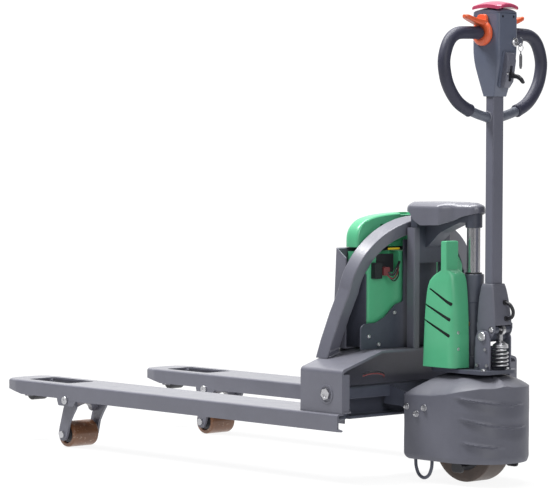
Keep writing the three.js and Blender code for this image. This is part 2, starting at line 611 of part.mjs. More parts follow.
function shellPlan(inset, frontInset) {
  const half = SHELL_HALF - inset;
  const points = [];
  for (let i = 0; i <= 10; i += 1) {
    const angle = -Math.PI / 2 + Math.PI * i / 10;
    points.push([SHELL_CENTRE_X + half * Math.cos(angle), half * Math.sin(angle)]);
  }
  const front = SHELL_FRONT_X + frontInset;
  const bevel = 3;
  points.push([-70, half], [front + bevel, half], [front, half - bevel],
    [front, bevel - half], [front + bevel, -half], [-70, -half]);
  return points;
}

function makeDriveCover() {
  const ringAt = (z, inset, frontInset) => shellPlan(inset, frontInset).map(([x, y]) => [x, y, z]);
  const [low, side] = SHELL_Z;
  const wall = SHELL_WALL;
  const outer = loft([ringAt(low, 5, 2), ringAt(low + 18, 0, 0), ringAt(side, 0, 0), ringAt(246, 8, 14),
    ringAt(262, 24, 38), ringAt(272, 42, 58), ringAt(SHELL_TOP_Z, 66, 76)]);
  const hollow = loft([ringAt(low - 9, 5 + wall, 2 + wall), ringAt(low + 18, wall, wall),
    ringAt(side - 1, wall, wall), ringAt(244, 8 + wall, 14 + wall), ringAt(259, 24 + wall, 38 + wall),
    ringAt(268, 43 + wall, 60 + wall), ringAt(SHELL_TOP_Z - wall, 66 + wall, 76 + wall)]);
  const mouth = box([-150, -104], [-112, 112], [40, 238]);
  const neck = rodZ(0, 0, [240, 300], 34, 20);
  const holes = COVER_BOLTS.map(([x, z]) => rodY(x, [-130, 130], z, 4.4, 10));
  return cut(outer, hollow, mouth, neck, ...holes);
}

function makeHoop(y) {
  const points = [[-98, y, 100], [-98, y, 52], [-95, y, 34], [-86, y, 18], [-69, y, 10],
    [-52, y, 18], [-43, y, 34], [-40, y, 52], [-40, y, 100]];
  return sweep(points, circle(4.5, 6), 12);
}

// ---- steered unit -------------------------------------------------------------------------
function makeDriveFork() {
  const crown = box([-46, 46], [-47, 60], [213, 223]);
  const legs = join(slabY([[-40, 214], [-22, 96], [-14, 86], [14, 86], [22, 96], [40, 214]], [-47, -38.5]),
    slabY([[-40, 214], [-34, 96], [-20, 78], [20, 78], [34, 96], [40, 214]], [38.5, 47]));
  const neck = rodZ(0, 0, [222, DECK_Z[0] - FIT], 30, 20);
  const axleBore = rodY(0, [-60, 47], WHEEL_R, 14.4, 20);
  const gearbox = turnY([[0, 46.8], [50, 46.8], [54, 52], [54, 70], [44, 80], [0, 80]], 0, WHEEL_R, 18);
  const motor = box([-26, 26], [46.8, 66], [WHEEL_R, 218]);
  return cut(join(crown, legs, neck, gearbox, motor), axleBore);
}

function makeWheelHub() {
  const half = WHEEL_WIDTH / 2;
  return turnY([[0, -46], [14, -46], [14, -half + 6], [74, -half + 6], [74, half - 6], [14, half - 6],
    [14, 46], [0, 46]], 0, WHEEL_R, 20);
}

function makeWheelTyre() {
  const half = WHEEL_WIDTH / 2;
  return turnY([[74.8, -half], [WHEEL_R - 4, -half], [WHEEL_R, -half + 6], [WHEEL_R, half - 6],
    [WHEEL_R - 4, half], [74.8, half], [74.8, -half]], 0, WHEEL_R, 28);
}

function makeSteerHead() {
  const deck = slabZ(roundedBox([-96, 112], [-92, 58], 34, 4), DECK_Z);
  const ear = [[47, 290], [94, 290], [94, 374], [88, 387], [79, 394], [62, 394], [53, 387], [47, 374]];
  const ears = [-1, 1].map((side) => slabY(ear, span(side, 36, 42)));
  const web = box([42, 48], [-42, 42], [290, 352]);
  const socket = cut(rodZ(0, 0, [292, 326], 31, 20), rodZ(0, 0, [293.9, 400], 25.5, 20));
  const pivotBore = rodY(TILLER_X, [-60, 60], TILLER_PIVOT.z, 8.3, 16);
  return cut(join(deck, ...ears, web, socket), pivotBore);
}

function makeCylinder() {
  const barrel = turnZ([[0, 294.3], [25, 294.3], [25, 462], [27.5, 464], [27.5, CYLINDER_TOP_Z - 3],
    [25.5, CYLINDER_TOP_Z], [0, CYLINDER_TOP_Z]], 0, 0, 20);
  const fitting = join(rodX([-6, 12], -29.5, 408, 5.5, 10), rodY(0, [-29.5, -20], 408, 4.5, 10));
  return cut(join(barrel, fitting), rodZ(0, 0, [300, 600], RAM_R + 0.7, 20));
}

function makePumpUnit() {
  const low = DECK_Z[1] + FIT;
  const motor = turnZ([[0, low], [27, low], [27, 420], [24, 424], [24, 492], [20, 498], [0, 498]],
    -44, -60, 16);
  const block = box([-80, 12], [-82, -40], [low, 330]);
  return join(motor, block);
}

function pumpRings(inset) {
  const ringAt = (z, [x0, x1], [y0, y1], radius) => {
    const corner = Math.max(radius - inset, 1);
    return roundedBox([x0 + inset, x1 - inset], [y0 + inset, y1 - inset], corner, 3)
      .map(([x, y]) => [x, y, z]);
  };
  return [
    ringAt(297, [-97, 19], [-92, -31], 12),
    ringAt(421, [-91, 16.5], [-92, -31], 14),
    ringAt(490, [-84, 12], [-92, -31], 16),
    ringAt(518, [-76, 8], [-91, -31], 16),
    ringAt(534 - inset / 2, [-62, 5], [-90, -33], 16),
    ringAt(543 - inset, [-46, -2], [-88, -38], 12),
  ];
}

function makePumpCover() {
  const neckRing = (z, inset) => roundedBox([-32 + inset, -12 - inset], [-90 + inset, -44 - inset],
    Math.max(6 - inset, 1), 3).map(([x, y]) => [x, y, z]);
  const outer = join(loft(pumpRings(0)), loft([neckRing(520, 0), neckRing(612, 0), neckRing(622, 4)]));
  const lower = pumpRings(3);
  const hollow = join(loft([lower[0].map(([x, y]) => [x, y, 280]), ...lower]),
    loft([neckRing(500, 3), neckRing(616, 3)]));
  const openSide = box([-72.5, 13], [-35, 0], [280, 440]);
  const vents = [[-84, 503, -2, 465], [-88, 461, -4, 423], [-96, 423, -8, 384]].map(([x0, z0, x1, z1]) => {
    const length = Math.hypot(x1 - x0, z1 - z0);
    const slot = new THREE.BoxGeometry(length, 30, 7);
    slot.rotateY(Math.atan2(z0 - z1, x1 - x0)).translate((x0 + x1) / 2, -98, (z0 + z1) / 2);
    return solid(slot);
  });
  return cut(outer, hollow, openSide, ...vents);
}

function makeSpring() {
  const [low, high] = SPRING.z;
  const { r } = SPRING;
  return turnZ([[r - 4, low], [r, low], [r, high], [r - 4, high], [r - 4, low]], SPRING.x, 0, 16);
}

function makeSpringSeat() {
  const top = SPRING.z[1] + FIT;
  const seat = turnZ([[0, top], [20, top], [20, top + 7], [16, top + 10], [9, top + 20], [6, top + 24],
    [6, 388], [0, 388]], SPRING.x, 0, 16);
  const { x } = EYE_PIN;
  const eye = slabY([[x - 12, 388], [x - 6, 384], [x + 12, 384], [x + 18, 388], [x + 18, 406], [x + 13, 410],
    [x - 7, 410], [x - 12, 405]], [-5, 5]);
  const slot = box([EYE_PIN.x - 5.6, EYE_PIN.x + 12], [-9, 9], [EYE_PIN.z - 5.6, EYE_PIN.z + 5.6]);
  return cut(join(seat, eye), slot);
}

// ---- tiller -------------------------------------------------------------------------------
function makeTillerBase() {
  const hub = rodY(TILLER_PIVOT.x, [-35, 35], TILLER_PIVOT.z, 15, 18);
  const block = box([56, 84], [-30, 30], [TILLER_PIVOT.z, 440]);
  const spigot = box([60, 80], [-15, 15], [438, 470]);
  const lug = [[78, 384], [88, 386], [98, 389], [103, 397], [98, 405], [80, 412]];
  const lugs = [-1, 1].map((side) => slabY(lug,
    span(side, 14, 30)));
  const pinBore = rodY(EYE_PIN.x, [-40, 40], EYE_PIN.z, 4.3, 12);
  const eyeRoom = rodY(EYE_PIN.x + 3, [-13.8, 13.8], EYE_PIN.z, 24, 16);
  const pivotBore = rodY(TILLER_X, [-60, 60], TILLER_PIVOT.z, 8.3, 16);
  return cut(join(hub, block, spigot, ...lugs), pinBore, eyeRoom, pivotBore);
}

function makeEyePin() {
  return join(rodY(EYE_PIN.x, [-34, 34], EYE_PIN.z, 4, 12), rodY(EYE_PIN.x, [-34.5, -30.4], EYE_PIN.z, 7, 6),
    rodY(EYE_PIN.x, [30.4, 34.5], EYE_PIN.z, 7, 6));
}

function makeTillerPivotPin() {
  return join(rodY(TILLER_X, [-43, 43], TILLER_PIVOT.z, 8, 16),
    rodY(TILLER_X, [-47, -42.4], TILLER_PIVOT.z, 12, 16),
    rodY(TILLER_X, [42.4, 47], TILLER_PIVOT.z, 12, 6));
}

function makeTillerTube() {
  const halfX = TUBE.x / 2;
  const halfY = TUBE.y / 2;
  const section = (wall) => roundedBox([TILLER_X - halfX + wall, TILLER_X + halfX - wall],
    [wall - halfY, halfY - wall], 5 - wall * 0.8, 3);
  const outer = slabZ(section(0), [440.4, 1010]);
  const hollow = slabZ(section(2.6), [430, 1020]);
  return cut(outer, hollow);
}

function makeBoot() {
  const ringAt = (z, x, y, inset) => roundedBox([x[0] + inset, x[1] - inset], [-y + inset, y - inset],
    Math.max(6 - inset, 1), 3).map(([px, py]) => [px, py, z]);
  const levels = [[412, [41, 116], 33.5], [424, [41, 116], 33.5], [476, [44, 100], 30], [508, [49, 91], 26.5],
    [513, [51, 89], 25]];
  const outer = loft(levels.map(([z, x, y]) => ringAt(z, x, y, 0)));
  const hollow = loft([[380, [41, 116], 33.5], ...levels.slice(1, 3), [510, [49, 91], 26.5]]
    .map(([z, x, y]) => ringAt(z, x, y, 2.6)));
  const tubeHole = box([TILLER_X - 14.5, TILLER_X + 14.5], [-20.5, 20.5], [480, 530]);
  const hollowClear = box([55, 85], [-30.4, 30.4], [380, 441]);
  const cableHoles = [425, 466].map((z) => rodX([80, 130], 10, z, 5.6, 8));
  return cut(outer, hollow, tubeHole, hollowClear, ...cableHoles);
}

function makeTillerCable() {
  const points = [[88, 10, 466], [104, 10, 466], [117, 10, 462], [126, 10, 452], [129, 10, 443],
    [127, 10, 433], [119, 10, 427], [106, 10, 425], [92, 10, 425]];
  return sweep(points, circle(4.5, 8), 11);
}

// Centre line of one side of the handle loop, from the head round to the tiller tube.
function loopPath(side) {
  return [[30, LOOP_TOP_Z], [96, LOOP_TOP_Z], [138, LOOP_TOP_Z - 4], [166, 1128], [LOOP_HALF, 1086],
    [178, 1046], [163, 1012], [136, 981], [104, 962], [62, 948], [12, LOOP_LOW_Z - 2]]
    .map(([y, z]) => [LOOP_X, side * y, z]);
}

function makeLoopBar(side) {
  const headRoom = box([0, 130], [-34, 34], [1100, 1200]);
  const tubeRoom = box([0, 130], [-20.4, 20.4], [900, 1000]);
  return cut(sweep(loopPath(side), circle(BAR_R), 16), headRoom, tubeRoom);
}

function makeGrip(side) {
  const bends = loopPath(side).map((p) => new THREE.Vector3(...p));
  const path = new THREE.CatmullRomCurve3(bends, false, 'centripetal');
  const [from, to, steps] = [0.1, 0.83, 12];
  const pointAt = (i) => path.getPoint(from + (to - from) * i / steps).toArray();
  const points = Array.from({ length: steps + 1 }, (_, i) => pointAt(i));
  return sweep(points, ring(GRIP_R, BAR_R + 1.5), steps);
}

function headRing(z, share, inset) {
  const mix = (pair, other) => pair.map((value, i) => value + (other[i] - value) * share);
  const [x0, x1] = mix(HEAD.xLow, HEAD.xTop);
  const y = HEAD.yLow + (HEAD.yTop - HEAD.yLow) * share;
  return roundedBox([x0 + inset, x1 - inset], [inset - y, y - inset], Math.max(9 - inset, 2), 3)
    .map(([px, py]) => [px, py, z]);
}

const HEAD_LEVELS = [[HEAD.z[0], 0], [1022, 0.33], [1066, 0.78], [HEAD.z[1], 1], [HEAD.z[2], 1]];

function makeHead() {
  const outer = loft(HEAD_LEVELS.map(([z, share]) => headRing(z, share, 0)));
  const hollow = loft([...HEAD_LEVELS.slice(1).map(([z, share]) => headRing(z, share, 3)),
    headRing(1220, 1, 3)]);
  const socket = box([TILLER_X - 14.5, TILLER_X + 14.5], [-20.5, 20.5], [980, 1024]);
  const barHoles = rodY(LOOP_X, [-60, 60], LOOP_TOP_Z, BAR_R + 1, 16);
  const keyHole = rodX([90, 130], 24, 1130, 8.4, 16);
  const leverHole = box([92, 130], [-6, 6], [1040, 1062]);
  return cut(outer, hollow, socket, barHoles, keyHole, leverHole);
}

function domeRings(lift, edge, thickness, crown) {
  const rings = [];
  const stations = [-1, -0.72, -0.38, 0, 0.38, 0.72, 1];
  const half = (HEAD.xTop[1] - HEAD.xTop[0]) / 2 + edge;
  for (const s of stations) {
    const z = lift + crown * (1 - s * s);
    const y = HEAD.yTop + edge - 1.5 - 3 * s * s;
    const x = (HEAD.xTop[0] + HEAD.xTop[1]) / 2 + half * s;
    rings.push([[x, y - 4, z - thickness], [x, y, z - thickness + 1.5], [x, y - 1, z - 2], [x, y * 0.6, z],
      [x, -y * 0.6, z], [x, 1 - y, z - 2], [x, -y, z - thickness + 1.5], [x, 4 - y, z - thickness]]);
  }
  return rings;
}

function makeHeadLid() {
  const floor = loft(domeRings(1210.5, -0.5, 7, 12));
  return cut(floor, rodZ(48, 0, [1190, 1240], 5.4, 12), rodZ(90, 0, [1190, 1240], 5.4, 12));
}

function makeBellyButton() {
  const cap = loft(domeRings(1222, 4, 7, 14));
  return join(cap, rodZ(48, 0, [1206, 1226], 5, 12), rodZ(90, 0, [1206, 1226], 5, 12));
}

function makePaddle(side) {
  const [x, z] = [LOOP_X, LOOP_TOP_Z];
  const bore = BAR_R + 0.8;
  const disc = turnY([[bore, 0], [29, 0], [32, 3], [32, 9], [27, 15], [bore, 15], [bore, 0]], x, z, 18);
  const lobe = slabY([[x - 12, z + 24], [x + 22, z + 20], [x + 20, z + 40], [x + 12, z + 47], [x, z + 48],
    [x - 9, z + 42]], [0, 12]);
  const wing = loft([[0, 20, 26, 41], [12, 19, 27, 42], [30, 15, 29, 41], [54, 12, 32, 45], [66, 10, 34, 46],
    [72, 6, 37, 43]].map(([y, half, low, high]) => roundedBox([x - half, x + half], [z + low, z + high], 3, 3)
    .map(([px, pz]) => [px, -y, pz])));
  const body = join(disc, lobe, wing.mirror([0, 1, 0]));
  const placed = body.translate([0, 37, 0]);
  return side > 0 ? placed : placed.mirror([0, 1, 0]);
}

function makeLeverHousing() {
  const levels = [[1014, 93, 112, 11], [1030, 96, 121, 15], [1082, 104, 129, 16], [1100, 107, 126, 15],
    [1104, 108, 119, 13]];
  const ringAt = ([z, x0, x1, half]) => roundedBox([x0, x1], [-half, half], 3, 3).map(([x, y]) => [x, y, z]);
  const housing = loft(levels.map(ringAt));
  const headWall = loft(HEAD_LEVELS.map(([z, share]) => headRing(z, share, -FIT)));
  const slot = box([100, 140], [-5, 5], [1026, 1066]);
  return cut(housing, headWall, slot, rodY(118, [-10, 10], 1054, 4.4, 12));
}

function makeFingerLever() {
  const hook = [[113, 1060], [122, 1062], [126, 1054], [136, 1049], [150, 1047], [163, 1038],
    [170, 1027], [166, 1023], [156, 1032], [146, 1037], [130, 1038], [116, 1040], [110, 1048]];
  const arm = slabY(hook.slice().reverse(), [-4.4, 4.4]);
  return join(arm, rodY(118, [-9, 9], 1054, 4, 12));
}

function makeKeySwitch() {
  return turnXAt([[0, 108], [8, 108], [8, 115.4], [11, 115.4], [11, 119], [8, 121], [0, 121]], 24, 1130, 12);
}

function turnXAt(profile, y, z, sides) {
  const points = profile.map(([r, h]) => new THREE.Vector2(r, h));
  return solid(new THREE.LatheGeometry(points, sides).rotateZ(-Math.PI / 2).translate(0, y, z));
}

function makeKey() {
  const outline = [[121.4, 1128], [126, 1128], [127, 1121], [134, 1118], [141, 1122], [143, 1130],
    [141, 1138], [134, 1142], [127, 1139], [126, 1132], [121.4, 1132]];
  return cut(slabY(outline, [22.8, 25.2]), rodY(136, [20, 30], 1124.5, 2.9, 10));
}

function makeKeyTag() {
  const loopRing = new THREE.TorusGeometry(9, 1.1, 5, 14).rotateY(Math.PI / 2);
  const ringBody = solid(loopRing).translate([136, 24, 1115.5]);
  const tag = cut(slabX([[21, 1100], [19, 1094], [19, 1070], [24, 1062], [29, 1070], [29, 1094], [27, 1100]],
    [135, 137]), rodX([130, 142], 24, 1104, 1));
  const link = box([135, 137], [22.5, 25.5], [1099, 1108.5]);
  return join(ringBody, tag, link);
}

// ---- assembly -----------------------------------------------------------------------------
const SIDES = [['left', -1], ['right', 1]];

add('base_frame', 'dark', makeBaseFrame());
add('drive_cover', 'shell', makeDriveCover());
COVER_BOLTS.forEach(([x, z], i) => {
  add(`cover_bolt_${i + 1}`, 'zinc', boltY(x, z, SHELL_HALF + FIT, -1, 14, 4, 6.5, 5));
});

add('drive_fork', 'dark', makeDriveFork());
add('drive_wheel_hub', 'dark', makeWheelHub());
add('drive_wheel_tyre', 'urethane', makeWheelTyre());
add('steer_head', 'frame', makeSteerHead());
add('lift_cylinder', 'dark', makeCylinder());
add('pump_unit', 'dark', makePumpUnit());
add('pump_cover', 'green', makePumpCover());
add('tiller_spring', 'zinc', makeSpring());
add('spring_seat', 'zinc', makeSpringSeat());
add('tiller_pivot_pin', 'zinc', makeTillerPivotPin());

add('tiller_base', 'dark', makeTillerBase());
add('eye_pin', 'zinc', makeEyePin());
add('tiller_boot', 'shell', makeBoot());
add('tiller_tube', 'shell', makeTillerTube());
add('tiller_cable', 'black', makeTillerCable());
add('control_head', 'frame', makeHead());
add('head_lid', 'frame', makeHeadLid());
add('belly_button', 'red', makeBellyButton());
add('lever_housing', 'dark', makeLeverHousing());
add('finger_lever', 'black', makeFingerLever());
add('key_switch', 'zinc', makeKeySwitch());
add('key', 'zinc', makeKey());
add('key_tag', 'zinc', makeKeyTag());
for (const [name, side] of SIDES) {
  add(`loop_bar_${name}`, 'grip', makeLoopBar(side));
  add(`grip_${name}`, 'grip', makeGrip(side));
  add(`thumb_paddle_${name}`, 'orange', makePaddle(side));
}

add('chassis_base', 'frame', makeChassisBase());
add('arch_frame', 'frame', makeArch());
add('battery_box', 'frame', makeBatteryBox());
add('battery_pack', 'green', makeBattery());
add('battery_lid', 'green', makeBatteryLid());
add('mast_panel', 'dark', makeMastPanel());
add('head_arm', 'dark', makeHeadArm());
add('hood', 'frame', makeHood());
add('ram_rod', 'chrome', makeRamRod());
add('rocker', 'dark', makeRocker());
for (const [name, side] of SIDES) {
  add(`fork_${name}`, 'frame', makeFork(side));
  add(`mast_post_${name}`, 'frame', makeMastPost(side));
  add(`heel_pin_${name}`, 'zinc', makeHeelPin(side));
  add(`push_rod_${name}`, 'dark', makePushRod(side));
  add(`load_bracket_${name}`, 'frame', makeBracket(side));
  add(`bracket_pin_${name}`, 'zinc', makeBracketPin(side));
  add(`load_wheel_${name}`, 'urethane', makeLoadWheel(side));
  add(`tip_roller_${name}`, 'black', makeTipRoller(side));
}

export default truck;
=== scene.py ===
"""Electric pallet truck, forks raised and tiller upright. Lengths below are in millimetres in truck
coordinates (x = y = 0 on the steering axis, near side -Y); put() turns them into the row frame."""
import math

import bmesh
import bpy
from mathutils import Matrix, Vector
from mathutils.noise import noise as value_noise


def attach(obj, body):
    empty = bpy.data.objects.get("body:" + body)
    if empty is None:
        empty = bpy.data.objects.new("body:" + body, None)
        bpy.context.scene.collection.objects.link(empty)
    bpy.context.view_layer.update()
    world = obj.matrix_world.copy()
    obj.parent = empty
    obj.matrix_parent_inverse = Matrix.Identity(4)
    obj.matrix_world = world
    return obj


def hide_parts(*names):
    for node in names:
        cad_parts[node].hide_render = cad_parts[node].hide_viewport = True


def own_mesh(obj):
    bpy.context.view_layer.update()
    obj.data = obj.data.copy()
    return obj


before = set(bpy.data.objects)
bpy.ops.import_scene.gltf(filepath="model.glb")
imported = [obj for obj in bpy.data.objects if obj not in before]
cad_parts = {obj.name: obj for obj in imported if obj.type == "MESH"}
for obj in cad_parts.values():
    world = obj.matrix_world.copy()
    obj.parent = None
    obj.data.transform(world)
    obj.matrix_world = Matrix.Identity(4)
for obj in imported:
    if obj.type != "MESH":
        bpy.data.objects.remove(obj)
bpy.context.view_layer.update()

SHIFT_X = 696.5
BOTH = (("left", -1), ("right", 1))

# Axes of the moving parts: (x, z) for those along y, (x, y) for the steering axis.
STEER_AXIS, DRIVE_AXLE, PIVOT, EYE_PIN, GRIP_AXIS = (0, 0), (0, 105), (70, 380), (92.2, 397), (64, 1153)
HEEL_PIN, BRACKET_PIN, LOAD_AXLE, TIP_AXLE = (-203, 231), (-1253, 138), (-1290, 37.2), (-1478, 139)
LEVER_TURN = math.radians(126)
LEVER_PIN = (BRACKET_PIN[0] + 30 * math.cos(LEVER_TURN), BRACKET_PIN[1] + 30 * math.sin(LEVER_TURN))

VIEW_YAW, VIEW_PITCH, VIEW_ROLL = math.radians(47.0), math.radians(2.4), math.radians(0.2)
CAMERA_AT = (4925.5, -5292.0, 909.6)
FOCAL_PX, IMAGE_WIDTH, SENSOR = 2800.0, 551.0, 36.0


def metres(p):
    return ((p[0] + SHIFT_X) / 1000, p[1] / 1000, p[2] / 1000)


# ---- camera --------------------------------------------------------------------------------
def make_camera():
    yaw, pitch, roll = VIEW_YAW, VIEW_PITCH, VIEW_ROLL
    back = Vector((math.sin(yaw) * math.cos(pitch), -math.cos(yaw) * math.cos(pitch), math.sin(pitch)))
    right = (-back).cross(Vector((0, 0, 1))).normalized()
    up = right.cross(-back)
    turned_right = right * math.cos(roll) + up * math.sin(roll)
    turned_up = up * math.cos(roll) - right * math.sin(roll)
    data = bpy.data.cameras.new("camera")
    data.sensor_width = SENSOR
    data.lens = FOCAL_PX / IMAGE_WIDTH * SENSOR
    data.clip_end = 100.0
    camera = bpy.data.objects.new("camera", data)
    turn = Matrix((turned_right, turned_up, back)).transposed().to_4x4()
    camera.matrix_world = Matrix.Translation(metres(CAMERA_AT)) @ turn
    bpy.context.scene.collection.objects.link(camera)
    bpy.context.scene.camera = camera


make_camera()


# ---- materials -----------------------------------------------------------------------------
def material(name, color, rough, metallic=0.0, bump=0.15, grain=500.0, vary=0.08, dust=0.0, coat=0.0,
        rough_vary=0.12, stretch=(1, 1, 1), spots=None, depth=0.0004):
    mat = bpy.data.materials.new(name)
    mat.use_nodes = True
    tree = mat.node_tree
    link = tree.links.new
    new = tree.nodes.new
    shader = tree.nodes["Principled BSDF"]
    shader.inputs["Metallic"].default_value = metallic
    shader.inputs["Coat Weight"].default_value = coat
    shader.inputs["Coat Roughness"].default_value = 0.2
    place = new("ShaderNodeTexCoord")
    mapping = new("ShaderNodeMapping")
    mapping.inputs["Scale"].default_value = stretch
    link(place.outputs["Object"], mapping.inputs["Vector"])

    def noise(scale, detail=3.0, roughness=0.5):
        node = new("ShaderNodeTexNoise")
        node.inputs["Scale"].default_value = scale
        node.inputs["Detail"].default_value = detail
        node.inputs["Roughness"].default_value = roughness
        link(mapping.outputs["Vector"], node.inputs["Vector"])
        return node.outputs["Fac"]

    def ramp(source, low, high, first=0.3, last=0.7):
        node = new("ShaderNodeValToRGB")
        node.color_ramp.elements[0].position = first
        node.color_ramp.elements[1].position = last
        node.color_ramp.elements[0].color = (*low, 1)
        node.color_ramp.elements[1].color = (*high, 1)
        link(source, node.inputs["Fac"])
        return node.outputs["Color"]

    def mix(a, b, factor):
        node = new("ShaderNodeMix")
        node.data_type = "RGBA"
        link(factor, node.inputs["Factor"])
        for value, socket in ((a, node.inputs[6]), (b, node.inputs[7])):
            if isinstance(value, tuple):
                socket.default_value = (*value, 1)
            else:
                link(value, socket)
        return node.outputs[2]

    dark = tuple(c * (1 - vary) for c in color)
    light = tuple(min(1.0, c * (1 + vary)) for c in color)
    broad = ramp(noise(9.0, 5.0, 0.6), dark, light)
    fine = ramp(noise(120.0, 3.0), (0.0,) * 3, (1.0,) * 3, 0.35, 0.75)
    half = new("ShaderNodeMath")
    half.operation = "MULTIPLY"
    half.inputs[1].default_value = 0.25
    link(fine, half.inputs[0])
    out = mix(broad, light, half.outputs[0])
    if spots:
        specks = ramp(noise(spots[1], 2.0, 0.7), (0,) * 3, (1,) * 3, spots[2], spots[2] + 0.06)
        out = mix(out, spots[0], specks)
    if dust:
        geometry = new("ShaderNodeNewGeometry")
        split = new("ShaderNodeSeparateXYZ")
        link(geometry.outputs["Normal"], split.inputs[0])
        upward = new("ShaderNodeMath")
        upward.operation = "MULTIPLY"
        upward.use_clamp = True
        link(split.outputs["Z"], upward.inputs[0])
        link(ramp(noise(26.0, 6.0, 0.65), (dust * 0.5,) * 3, (dust,) * 3), upward.inputs[1])
        out = mix(out, (0.45, 0.44, 0.43), upward.outputs[0])
    link(out, shader.inputs["Base Color"])
    span = new("ShaderNodeMapRange")
    span.inputs["To Min"].default_value = max(0.02, rough - rough_vary)
    span.inputs["To Max"].default_value = min(1.0, rough + rough_vary)
    link(noise(35.0, 4.0), span.inputs["Value"])
    link(span.outputs["Result"], shader.inputs["Roughness"])
    relief = new("ShaderNodeBump")
    relief.inputs["Strength"].default_value = bump
    relief.inputs["Distance"].default_value = depth
    link(noise(grain, 2.0), relief.inputs["Height"])
    link(relief.outputs["Normal"], shader.inputs["Normal"])
    return mat


PAINT = material("grey_paint", (0.122, 0.124, 0.156), 0.40, bump=0.18, grain=420, dust=0.10, coat=0.4,
        spots=((0.22, 0.22, 0.25), 260.0, 0.70))
TUBE = material("tube_paint", (0.112, 0.115, 0.150), 0.40, bump=0.15, grain=420, dust=0.05, coat=0.15)
HEAD = material("head_paint", (0.096, 0.110, 0.158), 0.36, bump=0.12, grain=700, dust=0.05, coat=0.2)
DARK = material("dark_steel", (0.060, 0.066, 0.092), 0.45, bump=0.25, grain=350, vary=0.2, dust=0.05,
        spots=((0.09, 0.08, 0.08), 180.0, 0.68))
COVER = material("cover_plastic", (0.104, 0.107, 0.136), 0.50, bump=0.35, grain=1100, dust=0.10, vary=0.10)
GREEN = material("green_plastic", (0.085, 0.410, 0.215), 0.34, bump=0.12, grain=800, vary=0.06, coat=0.1,
        dust=0.06)
ORANGE = material("orange_plastic", (0.68, 0.110, 0.038), 0.36, bump=0.15, grain=900, vary=0.05, coat=0.2)
RED = material("red_plastic", (0.38, 0.048, 0.110), 0.30, bump=0.1, grain=900, vary=0.05, coat=0.3)
GRIP = material("grip_rubber", (0.026, 0.027, 0.050), 0.52, bump=0.35, grain=1300, vary=0.15)
BLACK = material("black_plastic", (0.012, 0.012, 0.016), 0.45, bump=0.25, grain=900, vary=0.2)
GREY = material("pale_plastic", (0.20, 0.20, 0.24), 0.45, bump=0.2, grain=900, vary=0.1)
URETHANE = material("urethane", (0.17, 0.070, 0.030), 0.32, bump=0.3, grain=300, vary=0.25, coat=0.3,
        spots=((0.30, 0.20, 0.14), 90.0, 0.62))
CAST = material("cast_metal", (0.045, 0.045, 0.052), 0.5, metallic=0.3, bump=0.6, grain=260, vary=0.25)
ZINC = material("zinc", (0.55, 0.55, 0.57), 0.32, metallic=1.0, bump=0.25, grain=420, vary=0.15)
CHROME = material("chrome", (0.80, 0.79, 0.82), 0.21, metallic=1.0, bump=0.05, grain=900, vary=0.04,
        stretch=(1, 1, 0.03), rough_vary=0.05)
BRASS = material("brass", (0.55, 0.36, 0.16), 0.34, metallic=1.0, bump=0.2, grain=420, vary=0.1)
YELLOW = material("yellow_label", (0.75, 0.55, 0.03), 0.5, bump=0.05, vary=0.04)
WIRE_RED = material("red_wire", (0.17, 0.035, 0.040), 0.45, bump=0.1, vary=0.1)
TREAD = material("tyre_tread", (0.070, 0.046, 0.036), 0.45, bump=0.5, grain=240, vary=0.35,
        spots=((0.17, 0.08, 0.03), 14.0, 0.55))
CYLINDER = material("cylinder_paint", (0.085, 0.095, 0.125), 0.34, bump=0.12, grain=420, vary=0.1, coat=0.3)
GRIP_BAR = material("loop_bar", (0.095, 0.106, 0.138), 0.42, bump=0.15, grain=500, vary=0.1)
WELD = material("weld_bead", (0.15, 0.152, 0.186), 0.45, bump=0.9, grain=160, dust=0.08, depth=0.001)


# ---- mesh helpers ---------------------------------------------------------------------------
def put(name, verts, faces):
    mesh = bpy.data.meshes.new(name)
    mesh.from_pydata([metres(v) for v in verts], [], faces)
    work = bmesh.new()
    work.from_mesh(mesh)
    bmesh.ops.remove_doubles(work, verts=work.verts, dist=1e-6)
    bmesh.ops.recalc_face_normals(work, faces=work.faces)
    work.to_mesh(mesh)
    work.free()
    obj = bpy.data.objects.new(name, mesh)
    bpy.context.scene.collection.objects.link(obj)
    return obj


def span(side, a, b, middle=0):
    """Two distances from the middle towards one side, in rising order."""
    return sorted((middle + side * a, middle + side * b))


def mirrored(half, middle=0):
    """A (radius, distance) profile on both sides of the middle."""
    return [(r, middle - h) for r, h in half] + [(r, middle + h) for r, h in reversed(half)]


def loft(name, rings, closed=False):
    """Skin through rings of equal length, with end caps unless the rings close on themselves."""
    count = len(rings[0])
    verts = [p for ring in rings for p in ring]
    faces = []
    total = len(rings)
    for level in range(total if closed else total - 1):
        a = level * count
        b = ((level + 1) % total) * count
        for i in range(count):
            j = (i + 1) % count
            faces.append((a + i, a + j, b + j, b + i))
    if not closed:
        faces.append(tuple(range(count - 1, -1, -1)))
        faces.append(tuple(range((total - 1) * count, total * count)))
    return put(name, verts, faces)


AXES = {"x": lambda a, b, h: (h, a, b), "y": lambda a, b, h: (a, h, b), "z": lambda a, b, h: (a, b, h)}


def prism(name, axis, outline, low, high):
    """Outline in the two other axes' order (y,z / x,z / x,y), from low to high along axis."""
    place = AXES[axis]
    return loft(name, [[place(a, b, h) for a, b in outline] for h in (low, high)])


def block(name, x, y, z):
    return prism(name, "z", [(x[0], y[0]), (x[1], y[0]), (x[1], y[1]), (x[0], y[1])], *z)


